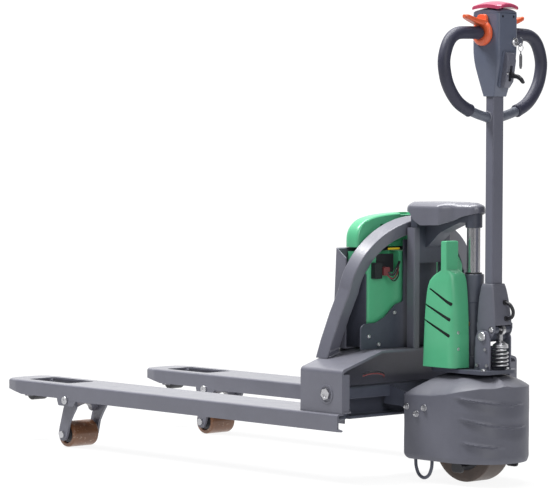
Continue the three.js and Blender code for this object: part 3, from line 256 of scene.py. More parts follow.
def lathe(name, axis, centre, profile, sides=48):
    """profile is (radius, height along axis), a closed loop unless it starts on the axis; centre
    gives the two other coordinates."""
    place = AXES[axis]
    rings = []
    for i in range(sides):
        c, s = math.cos(2 * math.pi * i / sides), math.sin(2 * math.pi * i / sides)
        rings.append([place(centre[0] + r * c, centre[1] + r * s, h) for r, h in profile])
    count = len(profile)
    verts = [p for ring in rings for p in ring]
    faces = []
    last = count if profile[0][0] > 0.1 else count - 1
    for i in range(sides):
        a, b = i * count, ((i + 1) % sides) * count
        for k in range(last):
            m = (k + 1) % count
            faces.append((a + k, a + m, b + m, b + k))
    return put(name, verts, faces)


def rod(name, axis, centre, radius, low, high, sides=40, edge=0.6):
    edge = min(edge, radius * 0.4)
    profile = [(0.001, low), (radius - edge, low), (radius, low + edge), (radius, high - edge),
            (radius - edge, high), (0.001, high)]
    return lathe(name, axis, centre, profile, sides)


def arc(centre, radius, start, end, steps):
    """Points on a circle, angles in degrees."""
    return [(centre[0] + radius * math.cos(math.radians(start + (end - start) * i / steps)),
            centre[1] + radius * math.sin(math.radians(start + (end - start) * i / steps)))
            for i in range(steps + 1)]


def rounded(points, radius, steps=4):
    """A polygon with every corner rounded; radius is one number or one for each corner."""
    out = []
    count = len(points)
    for i, p in enumerate(points):
        r = radius[i] if isinstance(radius, (list, tuple)) else radius
        here = Vector(p)
        before, after = Vector(points[i - 1]) - here, Vector(points[(i + 1) % count]) - here
        reach = min(before.length, after.length) * 0.49
        if r < 0.05:
            out.append(tuple(here))
            continue
        half = before.angle(after) / 2
        cut = min(r / math.tan(half), reach)
        a, b = here + before.normalized() * cut, here + after.normalized() * cut
        for k in range(steps + 1):
            t = k / steps
            q = a * (1 - t) ** 2 + here * 2 * t * (1 - t) + b * t ** 2
            out.append(tuple(q))
    return out


def rectangle(a, b, radius, steps=4):
    return rounded([(a[0], b[0]), (a[1], b[0]), (a[1], b[1]), (a[0], b[1])], radius, steps)


def curve_points(points, count):
    """A smooth Catmull-Rom curve through points, evenly spaced."""
    pts = [Vector(p) for p in points]
    pts = [pts[0] * 2 - pts[1]] + pts + [pts[-1] * 2 - pts[-2]]
    fine = []
    for i in range(1, len(pts) - 2):
        p0, p1, p2, p3 = pts[i - 1:i + 3]
        for k in range(16):
            t = k / 16
            fine.append(0.5 * ((2 * p1) + (p2 - p0) * t + (2 * p0 - 5 * p1 + 4 * p2 - p3) * t * t + (3 * p1
                    - p0 - 3 * p2 + p3) * t ** 3))
    fine.append(pts[-2])
    lengths = [0.0]
    for a, b in zip(fine, fine[1:]):
        lengths.append(lengths[-1] + (b - a).length)
    out, j = [], 0
    for i in range(count + 1):
        target = lengths[-1] * i / count
        while j < len(fine) - 2 and lengths[j + 1] < target:
            j += 1
        step = lengths[j + 1] - lengths[j]
        out.append(fine[j].lerp(fine[j + 1], (target - lengths[j]) / step if step else 0))
    return out


def frames(points):
    """(point, normal, binormal) along a path, without twist."""
    tangents = []
    for i in range(len(points)):
        tangents.append((points[min(i + 1, len(points) - 1)] - points[max(i - 1, 0)]).normalized())
    first = Vector((0, 0, 1)) if abs(tangents[0].z) < 0.9 else Vector((1, 0, 0))
    normal = (first - tangents[0] * first.dot(tangents[0])).normalized()
    out = []
    for point, tangent in zip(points, tangents):
        normal = (normal - tangent * normal.dot(tangent)).normalized()
        out.append((point, normal, tangent.cross(normal)))
    return out


def tube(name, points, radius, count=40, sides=16, smooth=True):
    """Round bar along a path; radius is a number or a function of the share of its length."""
    line = curve_points(points, count) if smooth else [Vector(p) for p in points]
    rings = []
    for i, (point, normal, side) in enumerate(frames(line)):
        r = radius(i / (len(line) - 1)) if callable(radius) else radius
        rings.append([tuple(point + normal * (r * math.cos(2 * math.pi * k / sides)) + side
                * (r * math.sin(2 * math.pi * k / sides))) for k in range(sides)])
    return loft(name, rings)


def pin_heads(centre, profile, sides, middle=0):
    """Turned heads at both ends of a pin along y."""
    return [lathe("head", "y", centre, [(r, middle + k * h) for r, h in profile], sides) for k in (-1, 1)]


def drop(obj):
    data = obj.data
    bpy.data.objects.remove(obj)
    bpy.data.meshes.remove(data)


def settle(obj):
    """Apply the modifiers."""
    bpy.context.view_layer.update()
    fresh = bpy.data.meshes.new_from_object(obj.evaluated_get(bpy.context.evaluated_depsgraph_get()))
    old = obj.data
    obj.modifiers.clear()
    obj.data = fresh
    bpy.data.meshes.remove(old)


def combine(obj, operation, others):
    for other in others:
        step = obj.modifiers.new("step", "BOOLEAN")
        step.operation = operation
        step.solver = "EXACT"
        step.object = other
    settle(obj)
    for other in others:
        drop(other)
    return obj


def carve(obj, *cutters):
    return combine(obj, "DIFFERENCE", cutters)


def weld(obj, *others):
    return combine(obj, "UNION", others)


def merge(obj, *others):
    """Puts the other objects' faces into obj without a boolean."""
    work = bmesh.new()
    work.from_mesh(obj.data)
    for other in others:
        work.from_mesh(other.data)
    work.to_mesh(obj.data)
    work.free()
    for other in others:
        drop(other)
    return obj


EDGE_ANGLE = 32


def soften(obj, width, segments=3):
    """Round the sharp edges."""
    step = obj.modifiers.new("edges", "BEVEL")
    step.width = width / 1000
    step.segments = segments
    step.limit_method = "ANGLE"
    step.angle_limit = math.radians(EDGE_ANGLE)
    step.miter_outer = "MITER_ARC"
    settle(obj)


def finish_piece(obj, body, slot, mat, *nodes, bevel=0.0, segments=2, sharp=35, flat=True):
    """Round the edges, shade, colour, and let the piece ride on its body in place of its CAD nodes."""
    if bevel:
        soften(obj, bevel, segments)
    for polygon in obj.data.polygons:
        polygon.use_smooth = True
    obj.data.set_sharp_from_angle(angle=math.radians(sharp))
    if flat:
        even = obj.modifiers.new("even_normals", "WEIGHTED_NORMAL")
        even.keep_sharp = True
    obj.data.materials.clear()
    obj.data.materials.append(mat)
    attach(obj, body)
    if nodes:
        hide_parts(*nodes)
    return obj


def hexagon(name, axis, centre, across, low, high):
    """A bolt head or nut with rounded corners, across its flats."""
    points = rounded([(centre[0] + across / math.sqrt(3) * math.cos(math.radians(60 * i + 12)),
            centre[1] + across / math.sqrt(3) * math.sin(math.radians(60 * i + 12))) for i in range(6)],
            0.8, 2)
    return prism(name, axis, points, low, high)


# ---- forks ----------------------------------------------------------------------------------
FORK_Y, FORK_HALF, FORK_TIP, FORK_REAR, FORK_TOP, FORK_LOW = 262.5, 80.0, -1543.0, -150.0, 183.0, 138.0


def fork_plan(inset):
    half, tip = FORK_HALF - inset, FORK_TIP + inset
    return rounded([(FORK_REAR, half), (tip + 63, half), (tip + 21, half - 8), (tip + 4, half - 24),
            (tip, half - 46), (tip, 46 - half), (tip + 4, 24 - half), (tip + 21, 8 - half), (tip + 63,
            -half), (FORK_REAR, -half)], [0, 60, 16, 16, 20, 20, 16, 16, 60, 0], 6)


def make_fork(name, side):
    centre = side * FORK_Y

    def level(z, inset):
        return [(x, centre + y, z) for x, y in fork_plan(inset)]

    top = [(FORK_LOW, 0), (FORK_TOP - 6.5, 0), (FORK_TOP - 4.2, 0.5), (FORK_TOP - 2.2, 1.7),
            (FORK_TOP - 0.7, 3.9), (FORK_TOP, 6.6)]
    shell = loft(f"fork_{name}_v", [level(z, inset) for z, inset in top])
    inner = [(x + (12 if x > -200 else 0), y, z) for x, y, z in level(FORK_LOW - 9, 5)]
    hollow = loft("cut", [inner, [(x, y, FORK_TOP - 5) for x, y, z in inner]])
    inward = span(side, FORK_Y - 81, FORK_Y + 58)
    slot = block("cut", (-285, -100), inward, (100, 192))
    window = prism("cut", "z", [(x, centre + y) for x, y in rectangle((-1462, -1275), (-49, 49), 15, 6)],
            FORK_TOP - 20, FORK_TOP + 20)
    nose = prism("cut", "y", [(-1560, 120), (-1440, 120), (-1440, 139), (-1473, 146), (-1523, 154),
            (-1560, 159)], centre - 99, centre + 99)
    shallow = prism("cut", "y", rounded([(-1560, 120), (-1293, 120), (-1286, 142), (-1560, 142)], 2),
            centre - 99, centre + 99)
    pivot = rod("cut", "y", BRACKET_PIN, 8.4, centre - 99, centre + 99)
    carve(shell, hollow, slot, window, nose, shallow)
    ears = [prism("ear", "y", rounded([(-1284, 122), (-1222, 122), (-1208, 142), (-1208, 160), (-1290, 160),
            (-1290, 138)], 5), *span(k, 75.4, 79.6, centre)) for k in (-1, 1)]
    cheeks = [prism("cheek", "y", rounded([(-1494, 132), (-1462, 132), (-1452, 179), (-1494, 179)], 4),
            *span(k, 31, 36, centre)) for k in (-1, 1)]
    carve(weld(shell, *ears, *cheeks), pivot)
    finish_piece(shell, "chassis", "frame_paint", PAINT, f"fork_{name}", bevel=0.7)
    outer = span(side, 75.0, 79.9, centre)
    lip = prism(f"fork_lip_{name}", "y", rounded([(-150, 138), (-136, 138.5), (-134, 143), (-150, 146)], 2),
            *outer)
    finish_piece(lip, "chassis", "frame_paint", PAINT, bevel=0.6)
    seam = tube(f"fork_seam_{name}", [(-298, centre - side * 78, 184.2), (-300, centre, 184.2),
            (-299, centre + side * 66, 184.2)], 2.6, 60, 8)
    finish_piece(seam, "chassis", "frame_paint", WELD)
    roller = lathe(f"tip_roller_{name}_v", "y", TIP_AXLE, mirrored([(4.8, 29), (8, 29), (8, 26), (15, 26),
            (17.4, 25), (19, 22)], centre), 40)
    finish_piece(roller, f"tip_roller_{name}", "roller_plastic", BLACK, f"tip_roller_{name}", sharp=40)
    axle = rod(f"tip_axle_{name}", "y", TIP_AXLE, 4.6, centre - 38, centre + 38, 20)
    finish_piece(axle, "chassis", "zinc", ZINC)


# ---- load wheels ------------------------------------------------------------------------------
def make_bracket(name, side):
    centre = side * FORK_Y
    plate = rounded([(-1236, 148), (-1254, 153), (-1270, 145), (-1286, 114), (-1303, 60), (-1309, 36),
            (-1299, 19), (-1281, 19), (-1271, 36), (-1262, 72), (-1247, 96), (-1232, 116)], [9, 12, 14, 30,
            60, 12, 12, 12, 20, 34, 20, 12], 5)
    arms = [prism(f"load_bracket_{name}_v", "y", plate, *span(k, 51, 59, centre)) for k in (-1, 1)]
    body = arms[0]
    barrel = rod("part", "y", BRACKET_PIN, 14, centre - 52, centre + 52, 36)
    web = prism("part", "y", rounded([(-1240, 138), (-1268, 140), (-1288, 104), (-1279, 99)], 2),
            centre - 52, centre + 52)
    rod_room = rod("cut", "y", BRACKET_PIN, 30, centre - 8.5, centre + 8.5, 48)
    tunnel = rod("cut", "x", (centre, 84), 40, -1340, -1200, 64)
    wheel_room = rod("cut", "y", LOAD_AXLE, 42, centre - 47, centre + 47, 48)
    weld(body, arms[1], barrel, web)
    carve(body, tunnel, wheel_room, rod_room)
    lever_x, lever_z = LEVER_PIN
    levers = [prism("part", "y", rounded([(-1265, 138), (-1241, 138), (lever_x + 8, lever_z + 3),
            (lever_x + 1, lever_z + 7), (lever_x - 9, lever_z + 1)], [0, 0, 4, 5, 5], 3), *span(k, 9, 15,
            centre)) for k in (-1, 1)]
    pin = rod("part", "y", LEVER_PIN, 4.5, centre - 14, centre + 14, 20)
    weld(body, *levers, pin)
    carve(body, rod("cut", "y", BRACKET_PIN, 8.3, centre - 60, centre + 60, 32))
    finish_piece(body, f"load_bracket_{name}", "frame_paint", PAINT, f"load_bracket_{name}", bevel=0.9)
    for k, tag in ((-1, "near"), (1, "far")):
        low, high = span(k, 59, 65, centre)
        head = hexagon(f"axle_bolt_{name}_{tag}", "y", LOAD_AXLE, 19, low, high)
        finish_piece(head, f"load_bracket_{name}", "zinc", ZINC, bevel=0.8)
    axle = rod(f"load_axle_{name}", "y", LOAD_AXLE, 7.8, centre - 60, centre + 60, 24)
    finish_piece(axle, f"load_bracket_{name}", "zinc", ZINC)
    pin = rod(f"bracket_pin_{name}_v", "y", BRACKET_PIN, 8, centre - 83, centre + 83, 28)
    heads = pin_heads(BRACKET_PIN, [(0.01, 80.4), (11.2, 80.4), (11.2, 83.6), (10.2, 84.8), (4.4, 84.8),
            (3.6, 82.5), (0.01, 82.5)], 28, centre)
    merge(pin, *heads)
    finish_piece(pin, "chassis", "zinc", ZINC, f"bracket_pin_{name}", sharp=30)
    tread = mirrored([(24, 41), (27, 45), (33.2, 45), (35.6, 43.6), (37, 40)], centre)
    tyre = lathe(f"load_wheel_{name}_v", "y", LOAD_AXLE, tread, 72)
    finish_piece(tyre, f"load_wheel_{name}", "urethane", URETHANE, f"load_wheel_{name}", sharp=40)
    hub = lathe(f"load_hub_{name}", "y", LOAD_AXLE, mirrored([(8.3, 44), (14, 44), (15, 41.5),
            (24.2, 40.5)], centre), 40)
    finish_piece(hub, f"load_wheel_{name}", "wheel_metal", CAST, sharp=30)


# ---- lift linkage -----------------------------------------------------------------------------
def make_linkage():
    swing = math.radians(17.1)

    def along(distance, lift):
        return (HEEL_PIN[0] + distance * math.cos(swing) + lift * math.sin(swing),
                HEEL_PIN[1] - distance * math.sin(swing) + lift * math.cos(swing))

    pin = (HEEL_PIN[0] - 60 * math.sin(swing), HEEL_PIN[1] - 60 * math.cos(swing))
    length = 178.9
    beam = prism("rocker_v", "y", rounded([(-232, 162), (-192, 162), (-192, 170), (-227, 170), (-227, 214),
            (-192, 214), (-192, 245), (-232, 245)], [4, 4, 2, 3, 3, 2, 6, 6], 4), -297, 297)
    profile = rounded([along(0, -40), along(60, -24), along(length - 12, -15), along(length + 14, -15),
            along(length + 14, 15), along(length - 12, 15), along(20, 16), along(0, 14)], [3, 40, 20, 14,
            14, 20, 20, 5], 6)
    slot = rounded([along(length - 16.5, -8.2), along(length + 8.2, -8.2), along(length + 8.2, 8.2),
            along(length - 16.5, 8.2)], 8.1, 6)
    parts, cuts, pins = [], [], []
    for name, side in BOTH:
        centre = side * FORK_Y
        parts.append(prism("part", "y", profile, *span(side, 103, 111)))
        cuts.append(prism("cut", "y", slot, *span(side, 99, 115)))
        parts.append(rod("part", "y", HEEL_PIN, 24, *span(side, 272, 297.3), 40))
        cuts.append(rod("cut", "y", HEEL_PIN, 12.4, *span(side, 260, 306), 32))
        cuts.append(block("cut", (-260, -180), (centre - 8.5, centre + 8.5), (140, 195)))
        for k in (-1, 1):
            parts.append(prism("part", "y", rounded([(pin[0] - 12, 217), (pin[0] - 12, pin[1] - 10),
                    (pin[0] + 12, pin[1] - 10), (pin[0] + 12, 217)], [0, 9, 9, 0], 4), *span(k, 8.5, 15,
                    centre)))
        parts.append(block("part", (pin[0] - 12, pin[0] + 12), (centre - 15, centre + 15), (196, 218)))
        pins.append(rod("part", "y", pin, 5, centre - 14.5, centre + 14.5, 20))
    weld(beam, *parts)
    carve(beam, *cuts)
    weld(beam, *pins)
    finish_piece(beam, "rocker", "dark_steel", DARK, "rocker", bevel=0.9)
    for name, side in BOTH:
        centre = side * FORK_Y
        x, z = LEVER_PIN
        bar = tube(f"push_rod_{name}_v", [(x + 16, centre, z - 0.5), (pin[0] - 12, centre, pin[1] - 1.8)],
                4.4, 4, 20, smooth=False)
        hook = prism("part", "y", rounded([(x - 13, z - 5), (x - 6, z - 12), (x + 14, z - 12),
                (x + 24, z - 5), (x + 24, z + 4), (x + 14, z + 7), (x - 13, z + 7)], 3), centre - 7,
                centre + 7)
        mouth = prism("cut", "y", rounded([(x - 5.4, z - 5.4), (x + 5.4, z - 5.4), (x + 5.4, z + 12),
                (x - 5.4, z + 12)], [5, 5, 0, 0], 6), centre - 9, centre + 9)
        eye = rod("part", "y", pin, 16, centre - 7, centre + 7, 36)
        bore = rod("cut", "y", (pin[0], pin[1] - 1.5), 8.2, centre - 9, centre + 9, 28)
        carve(weld(bar, hook, eye), mouth, bore)
        finish_piece(bar, f"push_rod_{name}", "dark_steel", DARK, f"push_rod_{name}", bevel=0.6)
        low, high = span(side, 268, 331)
        heel = rod(f"heel_pin_{name}_v", "y", HEEL_PIN, 12, low, high, 36)
        cap = hexagon("cap", "y", HEEL_PIN, 27, *span(side, 330.5, 336.4))
        dimple = rod("cut", "y", HEEL_PIN, 7.5, *span(side, 334.2, 340), 24)
        carve(cap, dimple)
        merge(heel, cap)
        finish_piece(heel, "chassis", "zinc", ZINC, f"heel_pin_{name}", bevel=0.7)
        ring = lathe(f"heel_ring_{name}", "y", HEEL_PIN, [(19, side * 329.9), (24.5, side * 329.9),
                (24.8, side * 330.9), (23.6, side * 331.9), (20, side * 331.9), (19, side * 331.0)], 44)
        finish_piece(ring, "chassis", "frame_paint", PAINT, sharp=50)


# ---- lifting chassis --------------------------------------------------------------------------
def make_heel_boxes():
    low = 183.4

    def section(inset, base):
        side = 330 - inset
        right = [(side, base)] + arc((side - 13 + inset * 0.5, 285 - inset * 0.6), 13 - inset * 0.5, 0, 62,
                7)
        right += [(185, 338 - inset)]
        return right + [(-y, z) for y, z in reversed(right)]

    shell = prism("chassis_base_v", "x", rounded_join(section(0, low)), -299, -146)
    hollow = prism("cut", "x", section(6, low - 9), -293, -120)
    carve(shell, hollow)
    flanges = [block("part", (-152, -146), span(side, 303, 327), (low, 283)) for _, side in BOTH]
    bosses = [rod("part", "y", HEEL_PIN, 24, *span(side, 300, 328), 40) for _, side in BOTH]
    weld(shell, *flanges, *bosses)
    carve(shell, rod("cut", "y", HEEL_PIN, 12.5, -400, 400, 36))
    finish_piece(shell, "chassis", "frame_paint", PAINT, "chassis_base", bevel=1.6, segments=3)
    for i, (rise, mat) in enumerate(((0, WIRE_RED), (5, BLACK))):
        lead = tube(f"frame_lead_{i}", [(-150, -252, 276 + rise), (-140, -238, 281 + rise), (-134, -214,
                282 + rise), (-136, -190, 276 + rise), (-150, -176, 270 + rise)], 1.8, 30, 10)
        finish_piece(lead, "chassis", None, mat)
    for name, side in BOTH:
        beads = [[(-262, side * 262, 318), (-262, side * 240, 325), (-262, side * 224, 329)],
                [(-146, side * 326, 186), (-146, side * 300, 186)]]
        for i, points in enumerate(beads):
            bead = tube(f"frame_seam_{name}_{i}", points, lambda t: 2.4 + 0.5 * math.sin(t * 90), 60, 8)
            finish_piece(bead, "chassis", "frame_paint", WELD)


def rounded_join(points):
    """The section with its two upper knees eased, so the bridge bends rather than folds."""
    out = []
    for i, (y, z) in enumerate(points):
        if abs(abs(y) - 185) < 1:
            s = 1 if y > 0 else -1
            slope = (338 - 297) / (185 - 311)
            if s > 0:
                out += [(y + 14, z + slope * 14), (y + 5, z + slope * 5 * 0.7), (y - 6, z)]
            else:
                out += [(y + 6, z), (y - 5, z + slope * 5 * 0.7), (y - 14, z + slope * 14)]
        else:
            out.append((y, z))
    return out


FOOT, CROWN, ARCH_DEPTH = (-262.0, 330.0), (-176.0, 672.0), 42.0


def arch_place(u, w, d):
    """A point of the leaning arch plane: across, up the plane, and forward of it."""
    rise = math.hypot(CROWN[0] - FOOT[0], CROWN[1] - FOOT[1])
    sx, cz = (CROWN[0] - FOOT[0]) / rise, (CROWN[1] - FOOT[1]) / rise
    return (FOOT[0] + w * sx - d * cz, u, FOOT[1] + w * cz + d * sx)


def arch_edge(inset, steps=40):
    rise = math.hypot(CROWN[0] - FOOT[0], CROWN[1] - FOOT[1])
    side = [(268 - inset, -30), (265 - inset - 3, 20), (230 - inset + 18, 92)]
    side += [((230 - inset) * math.cos(math.pi / 2 * i / steps),
            160 + (rise - 160 - inset) * math.sin(math.pi / 2 * i / steps)) for i in range(steps)]
    return side + [(0, rise - inset)] + [(-u, w) for u, w in reversed(side)]


def make_arch():
    rings = []
    soft = 2.6
    profile = [(0, soft), (0, 36 - soft), (0.8, 36 - 0.8), (soft, 36), (ARCH_DEPTH - soft, 36),
            (ARCH_DEPTH - 0.8, 35.2), (ARCH_DEPTH, 36 - soft), (ARCH_DEPTH, soft), (ARCH_DEPTH - 0.8, 0.8),
            (ARCH_DEPTH - soft, 0), (soft, 0), (0.8, 0.8)]
    edges = {inset: arch_edge(inset) for inset in {p[1] for p in profile}}
    for i in range(len(edges[0])):
        rings.append([arch_place(*edges[inset][i], depth) for depth, inset in profile])
    arch = loft("arch_frame_v", rings)
    under = prism("cut", "x", [(345, 100), (345, 298.5), (316, 300.5), (185, 338.5), (-185, 338.5),
            (-316, 300.5), (-345, 298.5), (-345, 100)], -400, 0)
    carve(arch, under)
    finish_piece(arch, "chassis", "frame_paint", PAINT, "arch_frame", sharp=22)
    for name, side in BOTH:
        foot = [arch_place(side * 262, 3, -1), arch_place(side * 246, 8, -1), arch_place(side * 232, 12,
                -1)]
        bead = tube(f"arch_seam_{name}", foot, lambda t: 2.6 + 0.6 * math.sin(t * 70), 50, 8)
        finish_piece(bead, "chassis", "frame_paint", WELD)


def arch_room():
    """A cutter slightly larger than the arch."""
    profile = [(-0.7, -0.7), (-0.7, 36.7), (ARCH_DEPTH + 0.7, 36.7), (ARCH_DEPTH + 0.7, -0.7)]
    edges = {inset: arch_edge(inset, 24) for inset in {p[1] for p in profile}}
    return loft("cut", [[arch_place(*edges[inset][i], depth) for depth, inset in profile]
            for i in range(len(edges[-0.7]))])


def make_battery():
    def front(z):
        return -299 + (z - 340) * 0.05

    tray = prism("battery_box_v", "y", [(front(338.6), 338.6), (-251, 338.6), (-251, 574), (front(600),
            600)], -216, 216)
    hollow = prism("cut", "y", [(front(338) + 4, 342.6), (-240, 342.6), (-240, 700), (front(700) + 4, 700)],
            -212, 212)
    carve(tray, hollow, arch_room())
    finish_piece(tray, "chassis", "frame_paint", PAINT, "battery_box", bevel=0.5)
    # Painted shade: thin dark plates over both sides of the pack, darkening it where it lies in the arch's
    # shadow.
    for name, side in BOTH:
        shade_plate = prism(f"battery_shade_plate_{name}", "y", rounded([(-283, 343), (-207, 343), (-207, 533),
                (-283, 533)], 3), *span(side, 183, 186))
        finish_piece(shade_plate, "chassis", "dark_steel", DARK, bevel=0.6)

    pack = prism("battery_pack_v", "z", rectangle((-284, -206), (-182, 182), 11, 6), 343, 590)
    recess = prism("cut", "x", rectangle((-138, -66), (541, 592), 6), -240, -190)
    groove = block("cut", (-209, -200), (-190, 190), (404, 406.5))
    seam = block("cut", (-209, -200), (8, 10.5), (407, 600))
    slots = [block("cut", (-209, -200), (40, 150), (430 + 12 * k, 435 + 12 * k)) for k in range(5)]
    carve(pack, recess, groove, seam, arch_room(), *slots)
    finish_piece(pack, "chassis", "green_plastic", GREEN, "battery_pack", bevel=0.9, segments=3)

    def lid_ring(x, inset):
        right = [(186 - inset, 601), (186 - inset, 611)]
        for y, z, _ in curve_points([(186, 618, 0), (184.5, 634, 0), (178, 650, 0), (166, 663, 0),
                (150, 672.5, 0), (128, 679, 0), (97, 684, 0), (60, 687.4, 0), (22, 689, 0)], 26):
            right.append((y - inset * min(1.0, max(0.25, (y - 60) / 110)), z - inset * min(1.0,
                    (z - 605) / 60)))
        return [(x, y, z) for y, z in right] + [(x, -y, z) for y, z in reversed(right)]

    rise = [(-288, 14), (-287.4, 10), (-285.6, 6), (-282.6, 2.8), (-278, 0.8), (-272, 0), (-250, 0),
            (-244, 0.6), (-241, 2), (-239, 4.5)]
    lid = loft("battery_lid_v", [lid_ring(*p) for p in rise])
    grip = block("cut", (-270, -230), (-26, 26), (683, 700))
    hole = rod("cut", "x", (-96, 655), 6, -250, -200, 28)
    carve(lid, grip, hole)
    finish_piece(lid, "chassis", "green_plastic", GREEN, "battery_lid", bevel=0.6, sharp=40)

    # Painted shade: a flat black sheet across the mouth of the plug recess and a little to its near side,
    # standing in for the shade inside the opening.
    mouth = prism("plug_recess_shade", "x", rectangle((-150, -86), (536, 584), 5), -207.5, -205.6)
    finish_piece(mouth, "chassis", "black_plastic", BLACK)
    plug = prism("plug_black", "x", rectangle((-168, -142), (520, 562), 3), -206, -190)
    finish_piece(plug, "chassis", "black_plastic", BLACK, bevel=0.8)
    plug = prism("plug_red", "x", rectangle((-140, -118), (528, 550), 3), -206, -186)
    finish_piece(plug, "chassis", None, WIRE_RED, bevel=0.8)
    label = prism("label_plain", "x", rectangle((-104, -62), (594, 599), 1), -209, -206.5)
    finish_piece(label, "chassis", None, YELLOW)
    wires = [([(-192, -128, 540), (-182, -112, 530), (-186, -92, 548), (-196, -74, 562)], 3.4, BLACK),
            ([(-192, -130, 534), (-182, -114, 520), (-186, -94, 530), (-196, -76, 548)], 2.0, WIRE_RED),
            ([(-192, -124, 532), (-184, -108, 514), (-188, -88, 522), (-198, -74, 536)], 1.8, BLACK)]
    for i, (points, radius, mat) in enumerate(wires):
        wire = tube(f"battery_wire_{i}", points, radius, 48, 12)
        finish_piece(wire, "chassis", "black_plastic" if mat is BLACK else None, mat)


def make_mast():
    low = 338.6
    top = [(214, 398), (200, 405), (160, 406), (128, 419), (88, 451), (66, 458), (66, 620)]
    near = [(-58, 620), (-58, 459)] + [(-y, z) for y, z in reversed(top[:-2])]
    outline = rounded([(214, low)] + top + near + [(-214, low)], [0] + [14] * 5 + [6, 3, 3,
            6] + [14] * 5 + [0], 5)
    panel = prism("mast_panel_v", "x", outline, -200, -195.5)
    finish_piece(panel, "chassis", "dark_steel", DARK, "mast_panel", bevel=1.0)
    for y, z in ((-186, 372), (186, 372), (-92, 430), (92, 430), (-150, 350), (150, 350)):
        screw = lathe(f"panel_screw_{y}_{z}", "x", (y, z), [(0.01, -195.4), (5.5, -195.4), (5.2, -193),
                (3, -191.8), (2.2, -193), (0.01, -193)], 24)
        finish_piece(screw, "chassis", "zinc", ZINC)
    for name, side in BOTH:
        channel = rounded([(-175, side * 68), (-175, side * 49), (-171, side * 49), (-171, side * 64),
                (-150, side * 64), (-150, side * 49), (-146, side * 49), (-146, side * 68)], [4, 0.6, 0.6,
                2, 2, 0.6, 0.6, 4], 4)
        post = prism(f"mast_post_{name}_v", "z", channel, low, 652)
        finish_piece(post, "chassis", "frame_paint", PAINT, f"mast_post_{name}", bevel=0.5)
    spine = prism("head_arm_v", "y", rounded([(-170, 600), (-146, 600), (-100, 640), (-30, 668), (0, 668),
            (0, 704), (-170, 704)], [2, 20, 40, 10, 0, 0, 2], 5), -22, 22)
    socket = rod("part", "z", STEER_AXIS, 22, 655, 704, 44, edge=1.5)
    cross = block("part", (-167, -151), (-48.6, 48.6), (560, 704))
    crown = block("part", (-170, -147), (-58, 58), (652.5, 704))
    weld(spine, socket, cross, crown)
    finish_piece(spine, "chassis", "dark_steel", DARK, "head_arm", bevel=1.0)

    def plan(inset):
        """Half width 76 at the front, 71 at the soft corner, then straight in to the nose."""
        nose = [(2 + (28 - inset) * math.cos(math.pi / 2 * i / 12),
                (28 - inset) * math.sin(math.pi / 2 * i / 12)) for i in range(13)]
        slant = [(-14, 34.4 - inset), (-26, 38.4 - inset), (-34, 42.4 - inset), (-40, 47.4 - inset),
                (-52, 60.6 - inset), (-56, 65.2 - inset), (-61, 68.8 - inset), (-68, 70.9 - inset),
                (-110, 72.6 - inset)]
        corner = [(-154 - 20 * math.sin(math.radians(a)), 56 - inset + 20 * math.cos(math.radians(a)))
                for a in (0, 15, 30, 45, 60, 75, 90)]
        corner = [(x - 4 + min(inset, 4), y) for x, y in corner]
        half = nose + slant + corner
        return half + [(x, -y) for x, y in reversed(half)][:-1]

    def ring(z, inset):
        return [(x, y, z) for x, y in plan(inset)]

    crown_levels = [(650, 0), (702, 0), (706, 0.5), (709.5, 1.8), (712, 3.8), (714, 6.5), (716.5, 12),
            (718.4, 17), (719.6, 21)]
    hood = loft("hood_v", [ring(z, min(inset, 24)) for z, inset in crown_levels])
    hollow = loft("cut", [ring(640, 4), ring(700, 4), ring(706, 6), ring(710, 12)])
    lower = prism("cut", "y", rounded([(-400, 600), (120, 600), (120, 702), (31, 694), (-10, 684),
            (-62, 661), (-123, 659), (-146, 672), (-160, 694), (-400, 697)], [0, 0, 0, 10, 30, 24, 20, 24,
            14, 0], 6), -99, 99)
    carve(hood, hollow, lower)
    finish_piece(hood, "chassis", "frame_paint", PAINT, "hood", bevel=0.8, sharp=40)
    ram = lathe("ram_rod_v", "z", STEER_AXIS, [(0.01, 408), (15, 408), (18, 411), (18, 654.6),
            (0.01, 654.6)], 64)
    finish_piece(ram, "chassis", "chrome", CHROME, "ram_rod", sharp=30)


# ---- drive cover --------------------------------------------------------------------------------
COVER_R, COVER_X, COVER_FRONT = 125.0, 25.0, -127.0
COVER_BASE, COVER_SHOULDER, COVER_TOP, SIDE_ROWS = 58, 223, 280.5, 78
COVER_BOLTS = ((-116, 193), (-81, 176), (-53, 193))
# Distances s run along the plan from x = 25 on the near side, round the rear, to the far side.
CREASE = ((-152, 223), (-57, 225), (-4, 232), (42, 242), (94, 251), (200, 253))
# Pressed steps in the cover's side: (s, height) along each.
COVER_STEPS = (((20, 227), (45, 223), (90, 218), (133, 213), (184, 207), (230, 210)), ((34, 174), (54, 169),
        (108, 160), (162, 152), (200, 149), (240, 152)), ((38, 113), (54, 110), (95, 105), (134, 101),
        (150, 100), (160, 100)))


def between(points, s):
    """Straight-line reading of (s, value) points, held at both ends."""
    for (a, p), (b, q) in zip(points, points[1:]):
        if s <= b:
            return p + (q - p) * max(0.0, (s - a)) / (b - a)
    return points[-1][1]


def crease_height(s):
    """Where the side turns into the dome, the same on both sides."""
    return between(CREASE, math.pi * COVER_R - s if s > math.pi * COVER_R / 2 else s)


def cover_relief(s, z):
    """How far the side stands out: slight waves, a fuller rear, and the pressed steps with their lips."""
    relief = 0.9 * value_noise(Vector((s / 70, z / 60, 3.1)))
    relief += 2.4 * min(1.0, max(0.0, (min(s, math.pi * COVER_R - s) - 70) / 60))
    for step in COVER_STEPS:
        first, last = step[0][0], step[-1][0]
        if first < s < last:
            fade = min(1.0, (s - first) / 22, (last - s) / 30)
            drop_z = between(step, s) - z
            if 0 <= drop_z < 34:
                relief -= 6.8 * fade * min(1.0, drop_z / 3.0) * (1 - drop_z / 34) ** 1.3
            elif -7 < drop_z < 0:
                relief += 3.2 * fade * (1 + drop_z / 7)
    return relief


